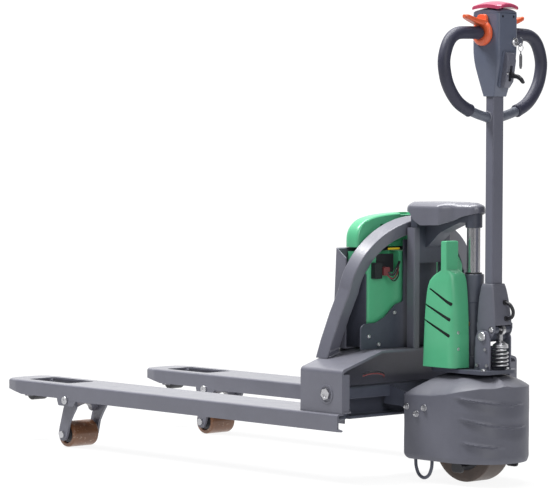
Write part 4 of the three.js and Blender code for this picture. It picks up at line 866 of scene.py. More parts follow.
def dome_relief(s, lift):
    """A three-sided bump pressed into the dome at the rear."""
    off = (s - 158) / (24 * (1 - lift * 0.9) + 2)
    return 9.0 * max(0.0, 1 - abs(off)) * (1 if lift < 0.85 else (1 - lift) / 0.15) * min(1.0,
            lift / 0.06 + 0.25)


def cover_outline(inset, front, corner):
    """(distance, x, y, outward normal) around the cover, near side first, then rear and far side."""
    radius = COVER_R - inset
    start = COVER_FRONT + front
    out = []
    for a in range(5):
        turn = math.radians(90 - 22.5 * a)
        nx, ny = -math.sin(turn), -math.cos(turn)
        out.append((start - COVER_X, start + corner + corner * nx, -radius + corner + corner * ny, nx, ny))
    length = COVER_X - start - corner
    for i in range(1, 40):
        x = start + corner + length * i / 40
        out.append((x - COVER_X, x, -radius, 0.0, -1.0))
    for i in range(0, 45):
        turn = math.pi / 2 * i / 44
        out.append((COVER_R * turn, COVER_X + radius * math.sin(turn), -radius * math.cos(turn),
                math.sin(turn), -math.cos(turn)))
    far = [(math.pi * COVER_R - s, x, -y, nx, -ny) for s, x, y, nx, ny in reversed(out[:-1])]
    return out + far


# The dome's rings: (inset of the plan, share of the height, inset at the front).
DOME = ((0.9, 0.03, 1.0), (2.4, 0.075, 3.0), (5.0, 0.135, 7), (9, 0.22, 13), (14, 0.32, 21), (20, 0.43, 30),
        (28, 0.55, 40), (38, 0.68, 50), (50, 0.81, 60), (62, 0.92, 68), (76, 1.0, 76))


def make_cover():
    rings = []
    for k in range(SIDE_ROWS + 1):
        share = k / SIDE_ROWS
        ring = []
        z_low = COVER_BASE + (COVER_SHOULDER - COVER_BASE) * share
        inset = 5.0 * max(0.0, 1 - (z_low - COVER_BASE) / 14) ** 2
        for s, x, y, nx, ny in cover_outline(inset, inset * 0.4, 3.0):
            z = COVER_BASE + (crease_height(s) - COVER_BASE) * share
            relief = cover_relief(s, z)
            ring.append((x + nx * relief, y + ny * relief, z))
        rings.append(ring)
    for inset, lift, front in DOME:
        ring = []
        for s, x, y, nx, ny in cover_outline(inset, front, 3.0 + inset * 0.25):
            crease = crease_height(s)
            z = crease + (COVER_TOP - crease) * lift
            relief = cover_relief(s, z) * (1 - lift) + dome_relief(s, lift)
            ring.append((x + nx * relief, y + ny * relief, z + (0.35 * dome_relief(s, lift) if lift < 0.9
                    else 0)))
        rings.append(ring)
    shell = loft("drive_cover_v", rings)
    inner = [[(x, y, z) for _, x, y, _, _ in cover_outline(inset, front, 3.0 + inset * 0.25)]
            for z, inset, front in ((40, 11, 4.5), (206, 11, 4.5), (222, 12, 6), (238, 17, 15), (252, 27,
            31), (266, 50, 64), (275, 80, 82))]
    hollow = loft("cut", inner)
    mouth = block("cut", (-160, -104), (-112, 112), (30, 238))
    neck = rod("cut", "z", STEER_AXIS, 34, 250, 300, 48)
    corner = prism("cut", "y", [(-151, 41), (-107, 41), (-107.6, 57.2), (-113, 58.4), (-118, 61.1),
            (-122, 65.2), (-125, 70.3), (-126.6, 78), (-151, 79)], -147, 147)
    carve(shell, corner)
    carve(shell, hollow)
    carve(shell, mouth, neck)
    holes = [rod("cut", "y", (x, z), 4.2, side * 125 - 14, side * 125 + 14, 20) for x, z in COVER_BOLTS
            for side in (-1, 1)]
    carve(shell, *holes)
    finish_piece(shell, "base", "cover_plastic", COVER, "drive_cover", sharp=48)
    for i, (x, z) in enumerate(COVER_BOLTS):
        for side, tag in ((-1, "near"), (1, "far")):
            face = side * 125.2
            washer = lathe("washer", "y", (x, z), [(4.4, face), (8.3, face), (8.6, face + side * 0.7),
                    (8.1, face + side * 1.8), (4.4, face + side * 1.8)], 36)
            head = hexagon("head", "y", (x, z), 12.4, *span(side, 1.8, 6.6, face))
            dome = lathe("dome", "y", (x, z), [(0.01, face + side * 11.2), (1.8, face + side * 10.9),
                    (3.5, face + side * 9.9), (3.9, face + side * 8.9), (3.9, face - side * 14),
                    (0.01, face - side * 14)], 24)
            soften(head, 0.7)
            bolt = merge(head, washer, dome)
            bolt.name = f"cover_bolt_{tag}_{i + 1}"
            nodes = (f"cover_bolt_{i + 1}",) if side < 0 else ()
            finish_piece(bolt, "base", "zinc", ZINC, *nodes, sharp=30)


def make_base():
    plate = prism("base_frame_v", "z", rectangle((-108, 44), (-112.5, 112.5), 12, 4), 226, 238)
    carve(plate, rod("cut", "z", STEER_AXIS, 31, 200, 260, 48))
    cheek = [(-120, 80), (-30, 80), (-12, 150), (-12, 226.5), (-114, 226.5), (-120, 214)]
    cheeks = [prism("part", "y", rounded(cheek, [8, 10, 20, 0, 4, 6], 4), *span(side, 112.4, 119.4))
            for _, side in BOTH]
    pins = [rod("part", "y", (-32, 178.5), 7, *span(side, 99, 119), 28) for _, side in BOTH]
    weld(plate, *cheeks, *pins)
    finish_piece(plate, "base", "dark_steel", DARK, "base_frame", bevel=0.8)
    path = [(-98, 100), (-98, 52), (-95, 34), (-86, 18), (-69, 10.5), (-52, 18), (-43, 34), (-40, 52),
            (-40, 100)]
    for name, side in BOTH:
        hoop = tube(f"hoop_{name}", [(x, side * 109, z) for x, z in path], 4.4, 60, 20)
        finish_piece(hoop, "base", "dark_steel", DARK)
        clip = prism(f"hoop_clip_{name}", "y", rectangle((26, 64), (34, 58), 9, 5), *span(side, 99, 107))
        finish_piece(clip, "base", "black_plastic", BLACK, bevel=1.5)


def make_drive():
    tread = mirrored([(74.8, 34), (92, 35), (101, 35), (104.2, 33.6), (105, 30.5)])
    tyre = lathe("drive_wheel_tyre_v", "y", DRIVE_AXLE, tread, 128)
    finish_piece(tyre, "drive_wheel", "urethane", TREAD, "drive_wheel_tyre", sharp=50)
    rim = mirrored([(12, 40), (30, 40), (32, 37), (34, 24), (58, 21), (64, 32), (74, 33.5), (74.4, 30)])
    hub = lathe("drive_wheel_hub_v", "y", DRIVE_AXLE, rim, 96)
    nuts = [hexagon("nut", "y", (48 * math.cos(math.radians(a)), 105 + 48 * math.sin(math.radians(a))), 14,
            -29, -20) for a in range(0, 360, 60)]
    axle = rod("axle", "y", DRIVE_AXLE, 13, -45.8, 45.8, 32)
    merge(hub, axle, *nuts)
    finish_piece(hub, "drive_wheel", "dark_steel", CAST, "drive_wheel_hub", sharp=30)
    crown = prism("drive_fork_v", "z", rectangle((-46, 46), (-47, 60), 12, 4), 213, 223)
    legs = prism("part", "y", rounded([(-46, 216), (-22, 84), (22, 84), (46, 216)], [0, 24, 24, 0], 8), -47,
            -38.6)
    neck = lathe("part", "z", STEER_AXIS, [(0.01, 214), (30, 214), (30, 282), (28, 283.6), (0.01, 283.6)],
            48)
    case = lathe("part", "y", DRIVE_AXLE, [(0.01, 46.8), (50, 46.8), (54, 52), (54, 68), (46, 80),
            (0.01, 80)], 64)
    motor = block("part", (-26, 26), (47, 66), (105, 218))
    weld(crown, legs, neck, case, motor)
    finish_piece(crown, "steer_unit", "dark_steel", DARK, "drive_fork", bevel=0.9)


# ---- steering head, ram and pump ----------------------------------------------------------------
def make_steer_unit():
    deck = prism("steer_deck", "z", rounded([(-90, -76), (112, -76), (112, 58), (-90, 58)], 34, 8), 284.2,
            294)
    ears = [prism("steer_head_v", "y", rounded([(46, 288), (95, 288), (95, 376), (86, 395), (55, 395),
            (46, 376)], [0, 0, 14, 16, 16, 14], 6), *span(side, 36.2, 41.8)) for _, side in BOTH]
    web = block("part", (42, 48), (-40, 40), (290, 352))
    ring = lathe("part", "z", STEER_AXIS, [(25.6, 286), (31, 286), (31, 324), (29.5, 326), (25.6, 326)], 56)
    weld(deck, ring)
    carve(deck, rod("cut", "z", STEER_AXIS, 25.5, 260, 330, 56))
    finish_piece(deck, "steer_unit", "dark_steel", DARK, bevel=1.0, segments=3)
    weld(ears[0], ears[1], web)
    carve(ears[0], rod("cut", "y", PIVOT, 8.3, -60, 60, 32))
    finish_piece(ears[0], "steer_unit", "frame_paint", TUBE, "steer_head", bevel=1.0, segments=3)
    pin = rod("tiller_pivot_pin_v", "y", PIVOT, 8, -43, 43, 28)
    heads = pin_heads(PIVOT, [(0.01, 42.3), (12.2, 42.3), (12.2, 44.6), (10.6, 46.7), (5, 46.9),
            (4.2, 45.4), (0.01, 45.4)], 32)
    merge(pin, *heads)
    finish_piece(pin, "steer_unit", "zinc", ZINC, "tiller_pivot_pin", sharp=30)
    for i, (x, z, r) in enumerate(((82, 347, 4.5), (88, 306, 5.0), (55, 306, 5.0))):
        screw = hexagon(f"ear_bolt_{i}", "y", (x, z), 1.7 * r, -46, -42)
        finish_piece(screw, "steer_unit", "zinc", ZINC, bevel=0.5)
    for i, (x, y) in enumerate(((-70, 36), (88, 36), (92, -60), (-20, -66))):
        screw = lathe(f"deck_screw_{i}", "z", (x, y), [(0.01, 294), (7, 294), (7, 296), (5.5, 299),
                (3, 299.4), (2.6, 297.6), (0.01, 297.6)], 28)
        finish_piece(screw, "steer_unit", "zinc", ZINC, sharp=30)

    barrel = lathe("lift_cylinder_v", "z", STEER_AXIS, [(0.01, 294.4), (24, 294.4), (25, 295.6), (25, 462),
            (26, 463), (27.5, 465), (27.5, 534), (26, 535.8), (18.8, 536), (18.8, 300), (0.01, 300)], 72)
    finish_piece(barrel, "steer_unit", "dark_steel", CYLINDER, "lift_cylinder", sharp=30)
    wiper = lathe("ram_wiper", "z", STEER_AXIS, [(18.4, 533), (22, 533), (22, 538.4), (20.5, 540),
            (18.4, 540)], 56)
    finish_piece(wiper, "steer_unit", "black_plastic", BLACK, sharp=30)
    fitting = lathe("hose_fitting", "y", (4, 408), [(0.01, -24), (7.5, -24), (7.5, -32), (9.5, -32.4),
            (9.5, -40), (6, -41), (6, -46), (0.01, -46)], 6)
    finish_piece(fitting, "steer_unit", None, BRASS, sharp=20)
    hose = tube("pump_hose", [(4, -44, 408), (4, -52, 408), (0, -58, 402), (-6, -60, 390), (-6, -54, 360),
            (2, -50, 330), (2, -48, 296)], 4.6, 50, 14)
    finish_piece(hose, "steer_unit", "black_plastic", BLACK)

    spring_x, low, high, coils, wire = 95.0, 294.5, 350.0, 5.0, 3.1
    radius = 21 - wire
    points = []
    total = int(coils * 40)
    for i in range(total + 1):
        share = i / total
        turn = 2 * math.pi * coils * share
        points.append((spring_x + radius * math.cos(turn), radius * math.sin(turn),
                low + wire + (high - low - 2 * wire) * share))
    spring = tube("tiller_spring_v", points, wire, 0, 14, smooth=False)
    finish_piece(spring, "steer_unit", "zinc", ZINC, "tiller_spring", sharp=60, flat=False)
    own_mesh(spring)
    seat = lathe("spring_seat_v", "z", (spring_x, 0), [(0.01, 350.4), (19.6, 350.4), (20.4, 351.4),
            (20.4, 354), (19.2, 355), (19.8, 356), (19.8, 358.4), (18.4, 360), (13.6, 363), (9, 366.6),
            (6.4, 369), (5.8, 388), (0.01, 388)], 56)
    eye = prism("part", "y", rounded([(80, 392), (84, 384), (102, 384), (110, 392), (110, 402), (102, 410),
            (84, 410), (80, 402)], 6, 4), -5, 5)
    weld(seat, eye)
    carve(seat, prism("cut", "y", rounded([(85, 392.5), (106, 392.5), (106, 401.5), (85, 401.5)], 4.4, 5),
            -9, 9))
    finish_piece(seat, "spring_seat", "zinc", ZINC, "spring_seat", bevel=0.5, sharp=30)


def make_pump():
    motor = lathe("pump_unit_v", "z", (-44, -60), [(0.01, 296), (27, 296), (27, 420), (24, 424), (24, 492),
            (20, 498), (0.01, 498)], 48)
    valve = block("part", (-80, 12), (-82, -40), (294.4, 330))
    weld(motor, valve)
    finish_piece(motor, "steer_unit", "dark_steel", DARK, "pump_unit", bevel=1.2)

    levels = [(297, -97, 19, -92, -31, 12, 27), (345, -94.5, 18.2, -92, -31, 12, 28), (421, -91, 16.5, -92,
            -31, 12, 28), (460, -87.6, 14.4, -92, -31, 12, 28), (490, -84, 12, -92, -31, 13, 28),
            (505, -80.5, 10, -92, -31, 14, 28), (518, -76, 8, -91.6, -31, 15, 27), (526, -69.8, 6.8, -91,
            -31.6, 16, 26), (533, -61.4, 5.2, -90.4, -33, 16, 25), (538, -52.6, 2.6, -90, -35, 14, 22),
            (541.6, -44, -1, -89.8, -37.4, 11, 17), (544.4, -37, -5, -89.8, -40, 7, 11), (547, -33.4, -9.6,
            -89.9, -42.4, 5, 7), (550, -32, -12, -90, -44, 3.4, 3.4), (618, -32, -12, -90, -44, 3.4, 3.4),
            (621, -31, -13, -89, -45, 3.0, 3.0), (622, -29.6, -14.4, -87.6, -46.4, 2.4, 2.4)]

    def ring(z, x0, x1, y0, y1, left, right, inset=0.0):
        corners = [(x0 + inset, y0 + inset), (x1 - inset, y0 + inset), (x1 - inset, y1 - inset),
                (x0 + inset, y1 - inset)]
        radii = [max(1.0, r - inset) for r in (left, right, min(left, 8), min(left, 8))]
        return [(x, y, z) for x, y in rounded(corners, radii, 9)]

    outer = loft("pump_cover_v", [ring(*level) for level in levels])
    inside = loft("cut", [ring(z - 3.2 if z > 540 else z if z > 300 else 280, *rest, inset=3.0)
            for z, *rest in levels[:-2]])
    back = block("cut", (-72.5, 13), (-35, 0), (280, 440))
    vents = []
    for (xa, za), (xb, zb) in (((-69, 499), (6, 459)), ((-84, 457.5), (3, 419.5)), ((-87, 417.5),
            (1.6, 378))):
        length = math.hypot(xb - xa, zb - za)
        ux, uz = (xb - xa) / length, (zb - za) / length
        thin, thick = 2.6, 5.0
        outline = [(xa - uz * thin, za + ux * thin), (xb - uz * thick, zb + ux * thick), (xb + uz * thick,
                zb - ux * thick), (xa + uz * thin, za - ux * thin)]
        vents.append(prism("cut", "y", rounded(outline, [2.4, 4.8, 4.8, 2.4], 5), -99, -72))
    carve(outer, inside, back)
    carve(outer, *vents)
    finish_piece(outer, "steer_unit", "green_plastic", GREEN, "pump_cover", bevel=0.7, sharp=42)
    lining = loft("pump_lining", [ring(z, *rest, inset=4.4) for z, *rest in levels[1:6]])
    carve(lining, block("cut", (-120, 40), (-58, 0), (280, 560)))
    finish_piece(lining, "steer_unit", "black_plastic", BLACK)
    for i, (z, x) in enumerate(((388, 15.8), (346, 16.6))):
        screw = lathe(f"pump_screw_{i}", "x", (-72.6, z), [(0.01, x - 1), (4.6, x - 1), (4.4, x + 0.8),
                (2.4, x + 1.7), (1.8, x + 0.4), (0.01, x + 0.4)], 24)
        finish_piece(screw, "steer_unit", "zinc", ZINC, sharp=30)


# ---- tiller ---------------------------------------------------------------------------------------
def make_tiller():
    hub = rod("tiller_base_v", "y", PIVOT, 15, -35, 35, 44, edge=1.2)
    body = prism("part", "z", rectangle((56, 84), (-30, 30), 4), 380, 440)
    lugs = [prism("part", "y", rounded([(78, 384), (88, 385), (100, 389), (104, 397), (99, 406), (80, 413)],
            [0, 3, 6, 7, 7, 0], 5), *span(side, 14, 30)) for _, side in BOTH]
    core = prism("part", "z", rectangle((59, 81), (-17, 17), 3), 438, 470)
    weld(hub, body, core, *lugs)
    carve(hub, rod("cut", "y", PIVOT, 8.4, -60, 60, 32), rod("cut", "y", EYE_PIN, 4.3, -60, 60, 24))
    finish_piece(hub, "tiller", "dark_steel", DARK, "tiller_base", bevel=0.8)
    pin = rod("eye_pin_v", "y", EYE_PIN, 4, -31, 31, 24)
    heads = pin_heads(EYE_PIN, [(0.01, 30.3), (7.2, 30.3), (7.2, 32.6), (6, 34.3), (0.01, 34.5)], 28)
    merge(pin, *heads)
    finish_piece(pin, "tiller", "zinc", ZINC, "eye_pin", sharp=30)

    levels = [(409, 43.6, 105.4, 33.5, 6), (411, 43, 106, 33.5, 6.5), (424, 42.4, 104.6, 33.5, 7), (450, 43,
            101.6, 31.9, 7), (476, 44.4, 97.8, 30, 7), (492, 46.4, 95, 28.2, 7), (503, 48.2, 92.2, 27, 7),
            (507, 49, 91, 26.5, 7), (508.6, 50, 90, 25.9, 6.5), (513, 51, 89, 25, 6), (514, 52.2, 87.8, 24,
            5)]

    def ring(z, x0, x1, half, r):
        return [(x, y, z) for x, y in rectangle((x0, x1), (-half, half), r, 7)]

    boot = loft("tiller_boot_v", [ring(*level) for level in levels])
    inside = loft("cut", [ring(z, x0 + 2.6, x1 - 2.6, half - 2.6, max(1, r - 2.6))
            for z, x0, x1, half, r in [(400, 43, 106, 33.5, 6.5)] + levels[2:-2]])
    neck = prism("cut", "z", rectangle((55.2, 84.8), (-20.8, 20.8), 5.4, 5), 470, 530)
    flap = rounded([(43.4, 414), (105.6, 414), (106, 402), (103, 391), (96, 380), (87, 374), (62, 374),
            (49, 382), (44.5, 396)], [0, 0, 8, 12, 12, 12, 16, 14, 10], 5)
    flaps = [prism("part", "y", flap, *span(side, 30.5, 33.5)) for _, side in BOTH]
    carve(boot, inside, neck)
    weld(boot, *flaps)
    carve(boot, rod("cut", "y", EYE_PIN, 8.6, -60, 60, 32), rod("cut", "y", PIVOT, 16, -60, 60, 40))
    finish_piece(boot, "tiller", "cover_plastic", COVER, "tiller_boot", sharp=42)
    pole = prism("tiller_tube_v", "z", rectangle((56, 84), (-20, 20), 5.2, 8), 440.4, 1010)
    hollow = prism("cut", "z", rectangle((59, 81), (-17, 17), 2.4, 4), 430, 1000)
    carve(pole, hollow)
    finish_piece(pole, "tiller", "tube_paint", TUBE, "tiller_tube", sharp=40)
    wire = tube("tiller_cable_v", [(x, 10, z) for x, z in ((88, 466), (104, 466), (117, 462), (126, 452),
            (129, 443), (127, 433), (119, 427), (106, 425), (92, 425))], 4.5, 60, 18)
    finish_piece(wire, "tiller", "black_plastic", BLACK, "tiller_cable")
    for i, (z, x) in enumerate(((466, 97.5), (425, 102.5))):
        gland = rod(f"cable_gland_{i}", "x", (10, z), 6.8, x, x + 6, 24)
        finish_piece(gland, "tiller", "black_plastic", BLACK, sharp=30)


HEAD_LEVELS = ((992, 0.0), (1000, 0.09), (1008, 0.18), (1022, 0.33), (1044, 0.56), (1066, 0.78),
        (1078, 0.87), (1090, 0.94), (1102, 0.98), (1114, 1.0), (1203, 1.0))

def head_ring(z, share, inset):
    low, high = 51 + (23 - 51) * share, 89 + (115 - 89) * share
    half = 24 + 12 * share
    return [(x, y, z) for x, y in rectangle((low + inset, high - inset), (inset - half, half - inset),
            max(1.0, 4 + 5 * share - inset), 7)]


def arch_top(name, x_low, x_high, half, base, low_rise, top, top_rise, edge, steps=24):
    """A shallow domed slab over the head, cut into strips so that both faces curve both ways."""
    middle, reach = (x_low + x_high) / 2, (x_high - x_low) / 2
    rows = []
    for i in range(steps + 1):
        y = -half + 2 * half * i / steps
        squeeze = edge * max(0.0, abs(y) / half - 0.86) / 0.14
        lo, hi = x_low + squeeze, x_high - squeeze

        def height(x, flat, rise):
            return flat + rise * (1 - 0.55 * (y / half) ** 2 - 0.45 * ((x - middle) / reach) ** 2)

        row = [(lo + 1.2 + (hi - lo - 2.4) * s / 8, base, low_rise, 0.0) for s in range(9)]
        row += [(hi, base, low_rise, 1.0), (hi, (base + top) / 2, (low_rise + top_rise) / 2, 0.0),
                (hi - 1.4, top, top_rise, -1.6)]
        row += [(hi - 4.5 - (hi - lo - 9) * s / 8, top, top_rise, -0.2) for s in range(9)]
        row += [(lo + 1.4, top, top_rise, -1.6), (lo, (base + top) / 2, (low_rise + top_rise) / 2, 0.0),
                (lo, base, low_rise, 1.0)]
        rows.append([(x, y, height(x, flat, rise) + lift) for x, flat, rise, lift in row])
    return loft(name, rows)


def make_head():
    outer = loft("control_head_v", [head_ring(z, share, 0) for z, share in HEAD_LEVELS])
    inner = loft("cut", [head_ring(z, share, 3) for z, share in HEAD_LEVELS[3:-1]] + [head_ring(1220, 1.0,
            3)])
    bore = rod("cut", "y", GRIP_AXIS, 13, -60, 60, 48)
    plug = prism("cut", "z", rectangle((55.4, 84.6), (-20.6, 20.6), 5.5, 5), 980, 1012)
    carve(outer, inner, bore, plug)
    screw_holes = [rod("cut", "x", (y, 1195), 3.6, 109, 120, 24) for y in (-20, 20)]
    carve(outer, *screw_holes)
    finish_piece(outer, "tiller", "tube_paint", HEAD, "control_head", bevel=0.5, sharp=40)
    for i, y in enumerate((-20, 20)):
        screw = lathe(f"head_screw_{i}", "x", (y, 1195), [(0.01, 112.2), (1.3, 112.2), (1.5, 113.6),
                (3.3, 113.6), (3.3, 110), (0.01, 110)], 20)
        finish_piece(screw, "tiller", "black_plastic", BLACK, sharp=30)
    lid = arch_top("head_lid_v", 23.6, 114.4, 35.4, 1203.4, 0, 1207.0, 12.0, 3)
    finish_piece(lid, "tiller", "tube_paint", HEAD, "head_lid", sharp=50)
    cap = arch_top("belly_button_v", 18.5, 119.5, 38.5, 1211.4, 12.2, 1219, 16.6, 7)
    pins = [rod("part", "z", (x, 0), 5, 1216, 1230, 20) for x in (48, 90)]
    weld(cap, *pins)
    finish_piece(cap, "belly_button", "red_plastic", RED, "belly_button", sharp=50)

    rings = [[(x, y, z) for x, y in rectangle((x0, x1), (-half, half), 3, 4)]
            for z, x0, x1, half in ((1014, 93, 112, 11), (1022, 94.6, 116.6, 13), (1030, 96, 121, 15),
            (1056, 100, 125, 15.5), (1082, 104, 129, 16), (1096, 106.4, 127.6, 15.4), (1100, 107, 126, 15),
            (1104, 108, 119, 13))]
    housing = loft("lever_housing_v", rings)
    slit = block("cut", (112, 140), (-4.9, 4.9), (1030, 1070))
    carve(housing, slit)
    finish_piece(housing, "tiller", "tube_paint", TUBE, "lever_housing", bevel=0.7, sharp=40)
    flange = loft("lever_flange", [[(x, y, z) for x, y in rectangle((a, a + 2.4), (-half, half), 0.8, 2)]
            for z, a, half in ((1016, 97.4, 17), (1024, 100.0, 21.5), (1096, 114.6, 22.5), (1106, 115.2,
            20))])
    finish_piece(flange, "tiller", "tube_paint", HEAD, sharp=40)
    for i, (x, y, z) in enumerate(((125.5, -11, 1050), (125.5, 11, 1050), (88, -17, 1010.5),
            (88, 17, 1010.5))):
        screw = lathe(f"lever_screw_{i}", "x", (y, z), [(0.01, x - 10), (3.4, x - 10), (3.4, x),
                (2.4, x + 1.2), (0.01, x + 1.4)], 20)
        finish_piece(screw, "tiller", "zinc", ZINC, sharp=30)
    hook = [(113, 1060), (122, 1062), (126, 1054), (136, 1049), (150, 1047), (163, 1038), (170, 1027),
            (166, 1023), (156, 1032), (146, 1037), (130, 1038), (116, 1040), (110, 1048)]
    lever = prism("finger_lever_v", "y", rounded(hook, [3, 3, 6, 10, 10, 8, 3, 3, 8, 10, 8, 6, 6], 5), -4.3,
            4.3)
    finish_piece(lever, "finger_lever", "black_plastic", BLACK, "finger_lever", bevel=1.5, segments=3)

    barrel = lathe("key_switch_v", "x", (24, 1130), [(0.01, 108), (8, 108), (8, 115.2), (11, 115.2),
            (11.4, 116), (11, 118.4), (9.4, 119.8), (8.2, 121), (2, 121), (0.01, 120.6)], 40)
    finish_piece(barrel, "tiller", "zinc", ZINC, "key_switch", sharp=30)
    bow = [(121.4, 1127.6), (126.5, 1127.6), (127, 1121), (134, 1117.6), (141, 1121), (143.4, 1130),
            (141, 1139), (134, 1142.4), (127, 1139), (126.5, 1132.4), (121.4, 1132.4)]
    key = prism("key_v", "y", rounded(bow, [0, 1, 4, 5, 5, 6, 5, 5, 4, 1, 0], 4), 22.8, 25.2)
    carve(key, rod("cut", "y", (136, 1124.5), 3.0, 18, 30, 24))
    finish_piece(key, "key", "zinc", ZINC, "key", bevel=0.4)
    rings = []
    for degrees in range(0, 360, 8):
        a = math.radians(degrees)
        middle = Vector((136, 24 + 9 * math.cos(a), 1115.5 + 9 * math.sin(a)))
        outward = Vector((0, math.cos(a), math.sin(a)))
        rings.append([tuple(middle + outward * math.cos(t) + Vector((math.sin(t), 0, 0)))
                for t in (2 * math.pi * k / 12 for k in range(12))])
    ring = loft("key_tag_v", rings, closed=True)
    tag = prism("part", "x", rounded([(21, 1100), (19, 1095), (19, 1070), (21, 1063), (24, 1061.5),
            (27, 1063), (29, 1070), (29, 1095), (27, 1100)], 2, 3), 135, 137)
    carve(tag, rod("cut", "x", (24, 1096), 1.8, 130, 142, 20))
    link = prism("part", "x", rectangle((22.6, 25.4), (1098, 1108), 0.8, 2), 135.2, 136.8)
    weld(tag, link)
    merge(ring, tag)
    finish_piece(ring, "key_tag", "zinc", ZINC, "key_tag", sharp=35)


def make_paddle(name, side):
    x0, z0 = GRIP_AXIS
    profile = ((13.3, 37.2), (30, 37.2), (31.6, 38), (32.4, 40), (32.4, 44.4), (31, 47.6), (27, 50.8),
            (23, 52), (18.5, 52), (16.8, 50.4), (13.3, 50))
    disc = lathe(f"paddle_{name}_v", "y", GRIP_AXIS, [(r, side * y) for r, y in profile], 72)
    lobe = prism("part", "y", rounded([(x0 - 17, z0 + 20), (x0 - 17, z0 + 48), (x0 + 17, z0 + 48), (x0 + 17,
            z0 + 20)], [0, 15, 15, 0], 10), *span(side, 37.4, 46))
    soften(lobe, 1.6)
    levels = ((0, 17, 17.4, 32, 3), (12, 17, 18.6, 33.5, 4), (22, 16, 20.5, 35, 4), (32, 14.4, 23, 37, 5),
            (44, 13, 26.6, 40, 5), (56, 12, 30.5, 43.4, 5), (64, 11, 33.4, 45.6, 5), (70, 8.8, 35.4, 46,
            4.6), (73.5, 5.4, 38, 44.6, 3))
    rings = [[(x, side * (38 + out * 0.98), z) for x, z in rectangle((x0 - half, x0 + half), (z0 + low,
            z0 + high), r, 6)] for out, half, low, high, r in levels]
    wing = loft("part", rings)
    weld(disc, lobe, wing)
    carve(disc, rod("cut", "y", GRIP_AXIS, 13.3, -110, 110, 48))
    finish_piece(disc, f"paddle_{name}", "orange_plastic", ORANGE, f"thumb_paddle_{name}", bevel=0.9,
            segments=3, sharp=45)


LOOP_STEPS = 240
LOOP = ((30, 1153), (96, 1153), (138, 1149), (166, 1128), (182, 1086), (178, 1046), (163, 1012), (136, 981),
        (104, 962), (62, 948), (12, 936))


def loop_curve(side):
    return curve_points([(GRIP_AXIS[0], side * y, z) for y, z in LOOP], LOOP_STEPS)


def loop_line(side, first, last, count):
    """Part of the loop between two shares of its length."""
    whole = loop_curve(side)
    a, b = first * LOOP_STEPS, last * LOOP_STEPS
    out = []
    for i in range(count + 1):
        t = a + (b - a) * i / count
        k = min(LOOP_STEPS - 1, int(t))
        out.append(tuple(whole[k].lerp(whole[k + 1], t - k)))
    return out


def loop_share(side, test):
    """The share of the loop's length at which a point first passes the test."""
    return next(i for i, p in enumerate(loop_curve(side)) if test(p)) / LOOP_STEPS


def make_loop(name, side):
    head_end = loop_share(side, lambda p: abs(p.y) >= 34)
    tube_end = loop_share(side, lambda p: abs(p.y) <= 20.6 and p.z < 1000)
    bar = tube(f"loop_bar_{name}_v", loop_line(side, head_end, tube_end, 90), 12.4, 0, 32, smooth=False)
    finish_piece(bar, "tiller", "bar_paint", GRIP_BAR, f"loop_bar_{name}", sharp=50)

    def radius(share):
        edge = min(share, 1 - share) * 420
        lip = 0.9 * math.exp(-((edge - 5) / 4) ** 2)
        return 16.2 - (3.6 * (1 - min(1.0, edge / 2.5)) ** 2) + lip

    grip = tube(f"grip_{name}_v", loop_line(side, 0.054, 0.828, 150), radius, 0, 40, smooth=False)
    finish_piece(grip, "tiller", "grip_rubber", GRIP, f"grip_{name}", sharp=60)
    seam = tube(f"loop_weld_{name}", [tuple(Vector((64 + 14.2 * math.cos(a), side * 21,
            940 + 13 * math.sin(a)))) for a in (2 * math.pi * k / 24 for k in range(25))], 1.9, 0, 8,
            smooth=False)
    finish_piece(seam, "tiller", "tube_paint", WELD)


for side_name, side_sign in BOTH:
    make_fork(side_name, side_sign)
    make_bracket(side_name, side_sign)
make_linkage()
make_heel_boxes()
make_arch()
make_battery()
make_mast()
make_cover()
make_base()
make_drive()
make_steer_unit()
make_pump()
make_tiller()
make_head()
for side_name, side_sign in BOTH:
    make_paddle(side_name, side_sign)
    make_loop(side_name, side_sign)


# ---- stage and lights -------------------------------------------------------------------------
STAGE_NEAR, STAGE_FAR, STAGE_HALF, WALL_TOP, FLOOR_Z = 4.5, 4.0, 7, 6.0, -0.0005
FLOOR_GLOW, WALL_GLOW, WORLD_GLOW = 0.90, 0.97, 0.12
# Lamps: (name, place, diameter, watts), all aimed at the truck's middle.
LAMPS = (("key", (-1.2, -2.1, 4.9), 1.7, 290), ("top", (0.0, 0.2, 4.6), 3.0, 230), ("fill", (4.0, -1.6,
        2.2), 2.2, 56))


def sheet(name, corners, glow):
    mesh = bpy.data.meshes.new(name)
    mesh.from_pydata(corners, [], [tuple(range(len(corners)))])
    obj = bpy.data.objects.new(name, mesh)
    bpy.context.scene.collection.objects.link(obj)
    mat = bpy.data.materials.new(name)
    mat.use_nodes = True
    shader = mat.node_tree.nodes["Principled BSDF"]
    shader.inputs["Base Color"].default_value = (0.10, 0.10, 0.10, 1)
    shader.inputs["Roughness"].default_value = 0.9
    shader.inputs["Specular IOR Level"].default_value = 0.1
    shader.inputs["Emission Color"].default_value = (1.0, 1.0, 1.0, 1)
    shader.inputs["Emission Strength"].default_value = glow
    mesh.materials.append(mat)
    return mat.node_tree


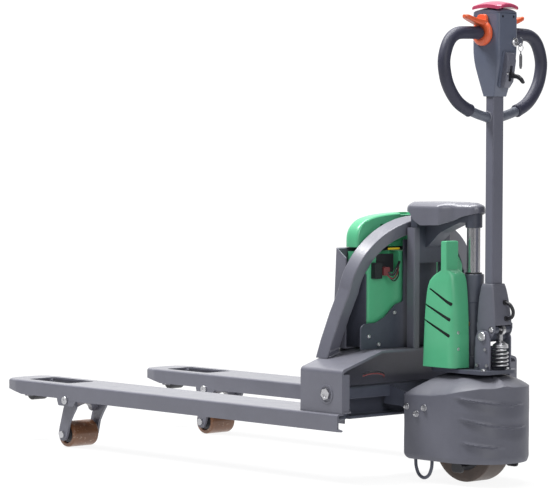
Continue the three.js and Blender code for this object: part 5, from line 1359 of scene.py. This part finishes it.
def clear_from_behind(tree):
    """The wall shows only its face, so that a view from behind it still sees the truck."""
    geometry = tree.nodes.new("ShaderNodeNewGeometry")
    clear = tree.nodes.new("ShaderNodeBsdfTransparent")
    mix = tree.nodes.new("ShaderNodeMixShader")
    tree.links.new(geometry.outputs["Backfacing"], mix.inputs[0])
    tree.links.new(tree.nodes["Principled BSDF"].outputs["BSDF"], mix.inputs[1])
    tree.links.new(clear.outputs["BSDF"], mix.inputs[2])
    tree.links.new(mix.outputs["Shader"], tree.nodes["Material Output"].inputs["Surface"])


def make_stage():
    """A pale floor with a bright wall far behind the truck, square to the view."""
    look = Vector((math.sin(VIEW_YAW), -math.cos(VIEW_YAW), 0))
    side = Vector((look.y, -look.x, 0))
    spots = [look * d + side * s for d, s in ((STAGE_NEAR, -STAGE_HALF), (STAGE_NEAR, STAGE_HALF),
            (-STAGE_FAR, STAGE_HALF), (-STAGE_FAR, -STAGE_HALF))]
    sheet("floor", [(p.x, p.y, FLOOR_Z) for p in spots], FLOOR_GLOW)
    first, last = spots[2:]
    clear_from_behind(sheet("wall", [(first.x, first.y, FLOOR_Z), (last.x, last.y, FLOOR_Z),
            (last.x, last.y, WALL_TOP), (first.x, first.y, WALL_TOP)], WALL_GLOW))


def make_lights():
    world = bpy.data.worlds.new("world")
    bpy.context.scene.world = world
    world.use_nodes = True
    background = world.node_tree.nodes["Background"]
    background.inputs["Color"].default_value = (0.95, 0.97, 1.0, 1)
    background.inputs["Strength"].default_value = WORLD_GLOW
    centre = Vector((0.1, 0, 0.5))
    for name, place, size, power in LAMPS:
        data = bpy.data.lights.new(name, "AREA")
        data.shape = "DISK"
        data.size = size
        data.energy = power
        lamp = bpy.data.objects.new(name, data)
        lamp.location = place
        lamp.rotation_euler = (centre - Vector(place)).to_track_quat("-Z", "Y").to_euler()
        bpy.context.scene.collection.objects.link(lamp)
    bpy.context.scene.view_settings.view_transform = "Standard"
    bpy.context.scene.view_settings.look = "None"


make_stage()
make_lights()
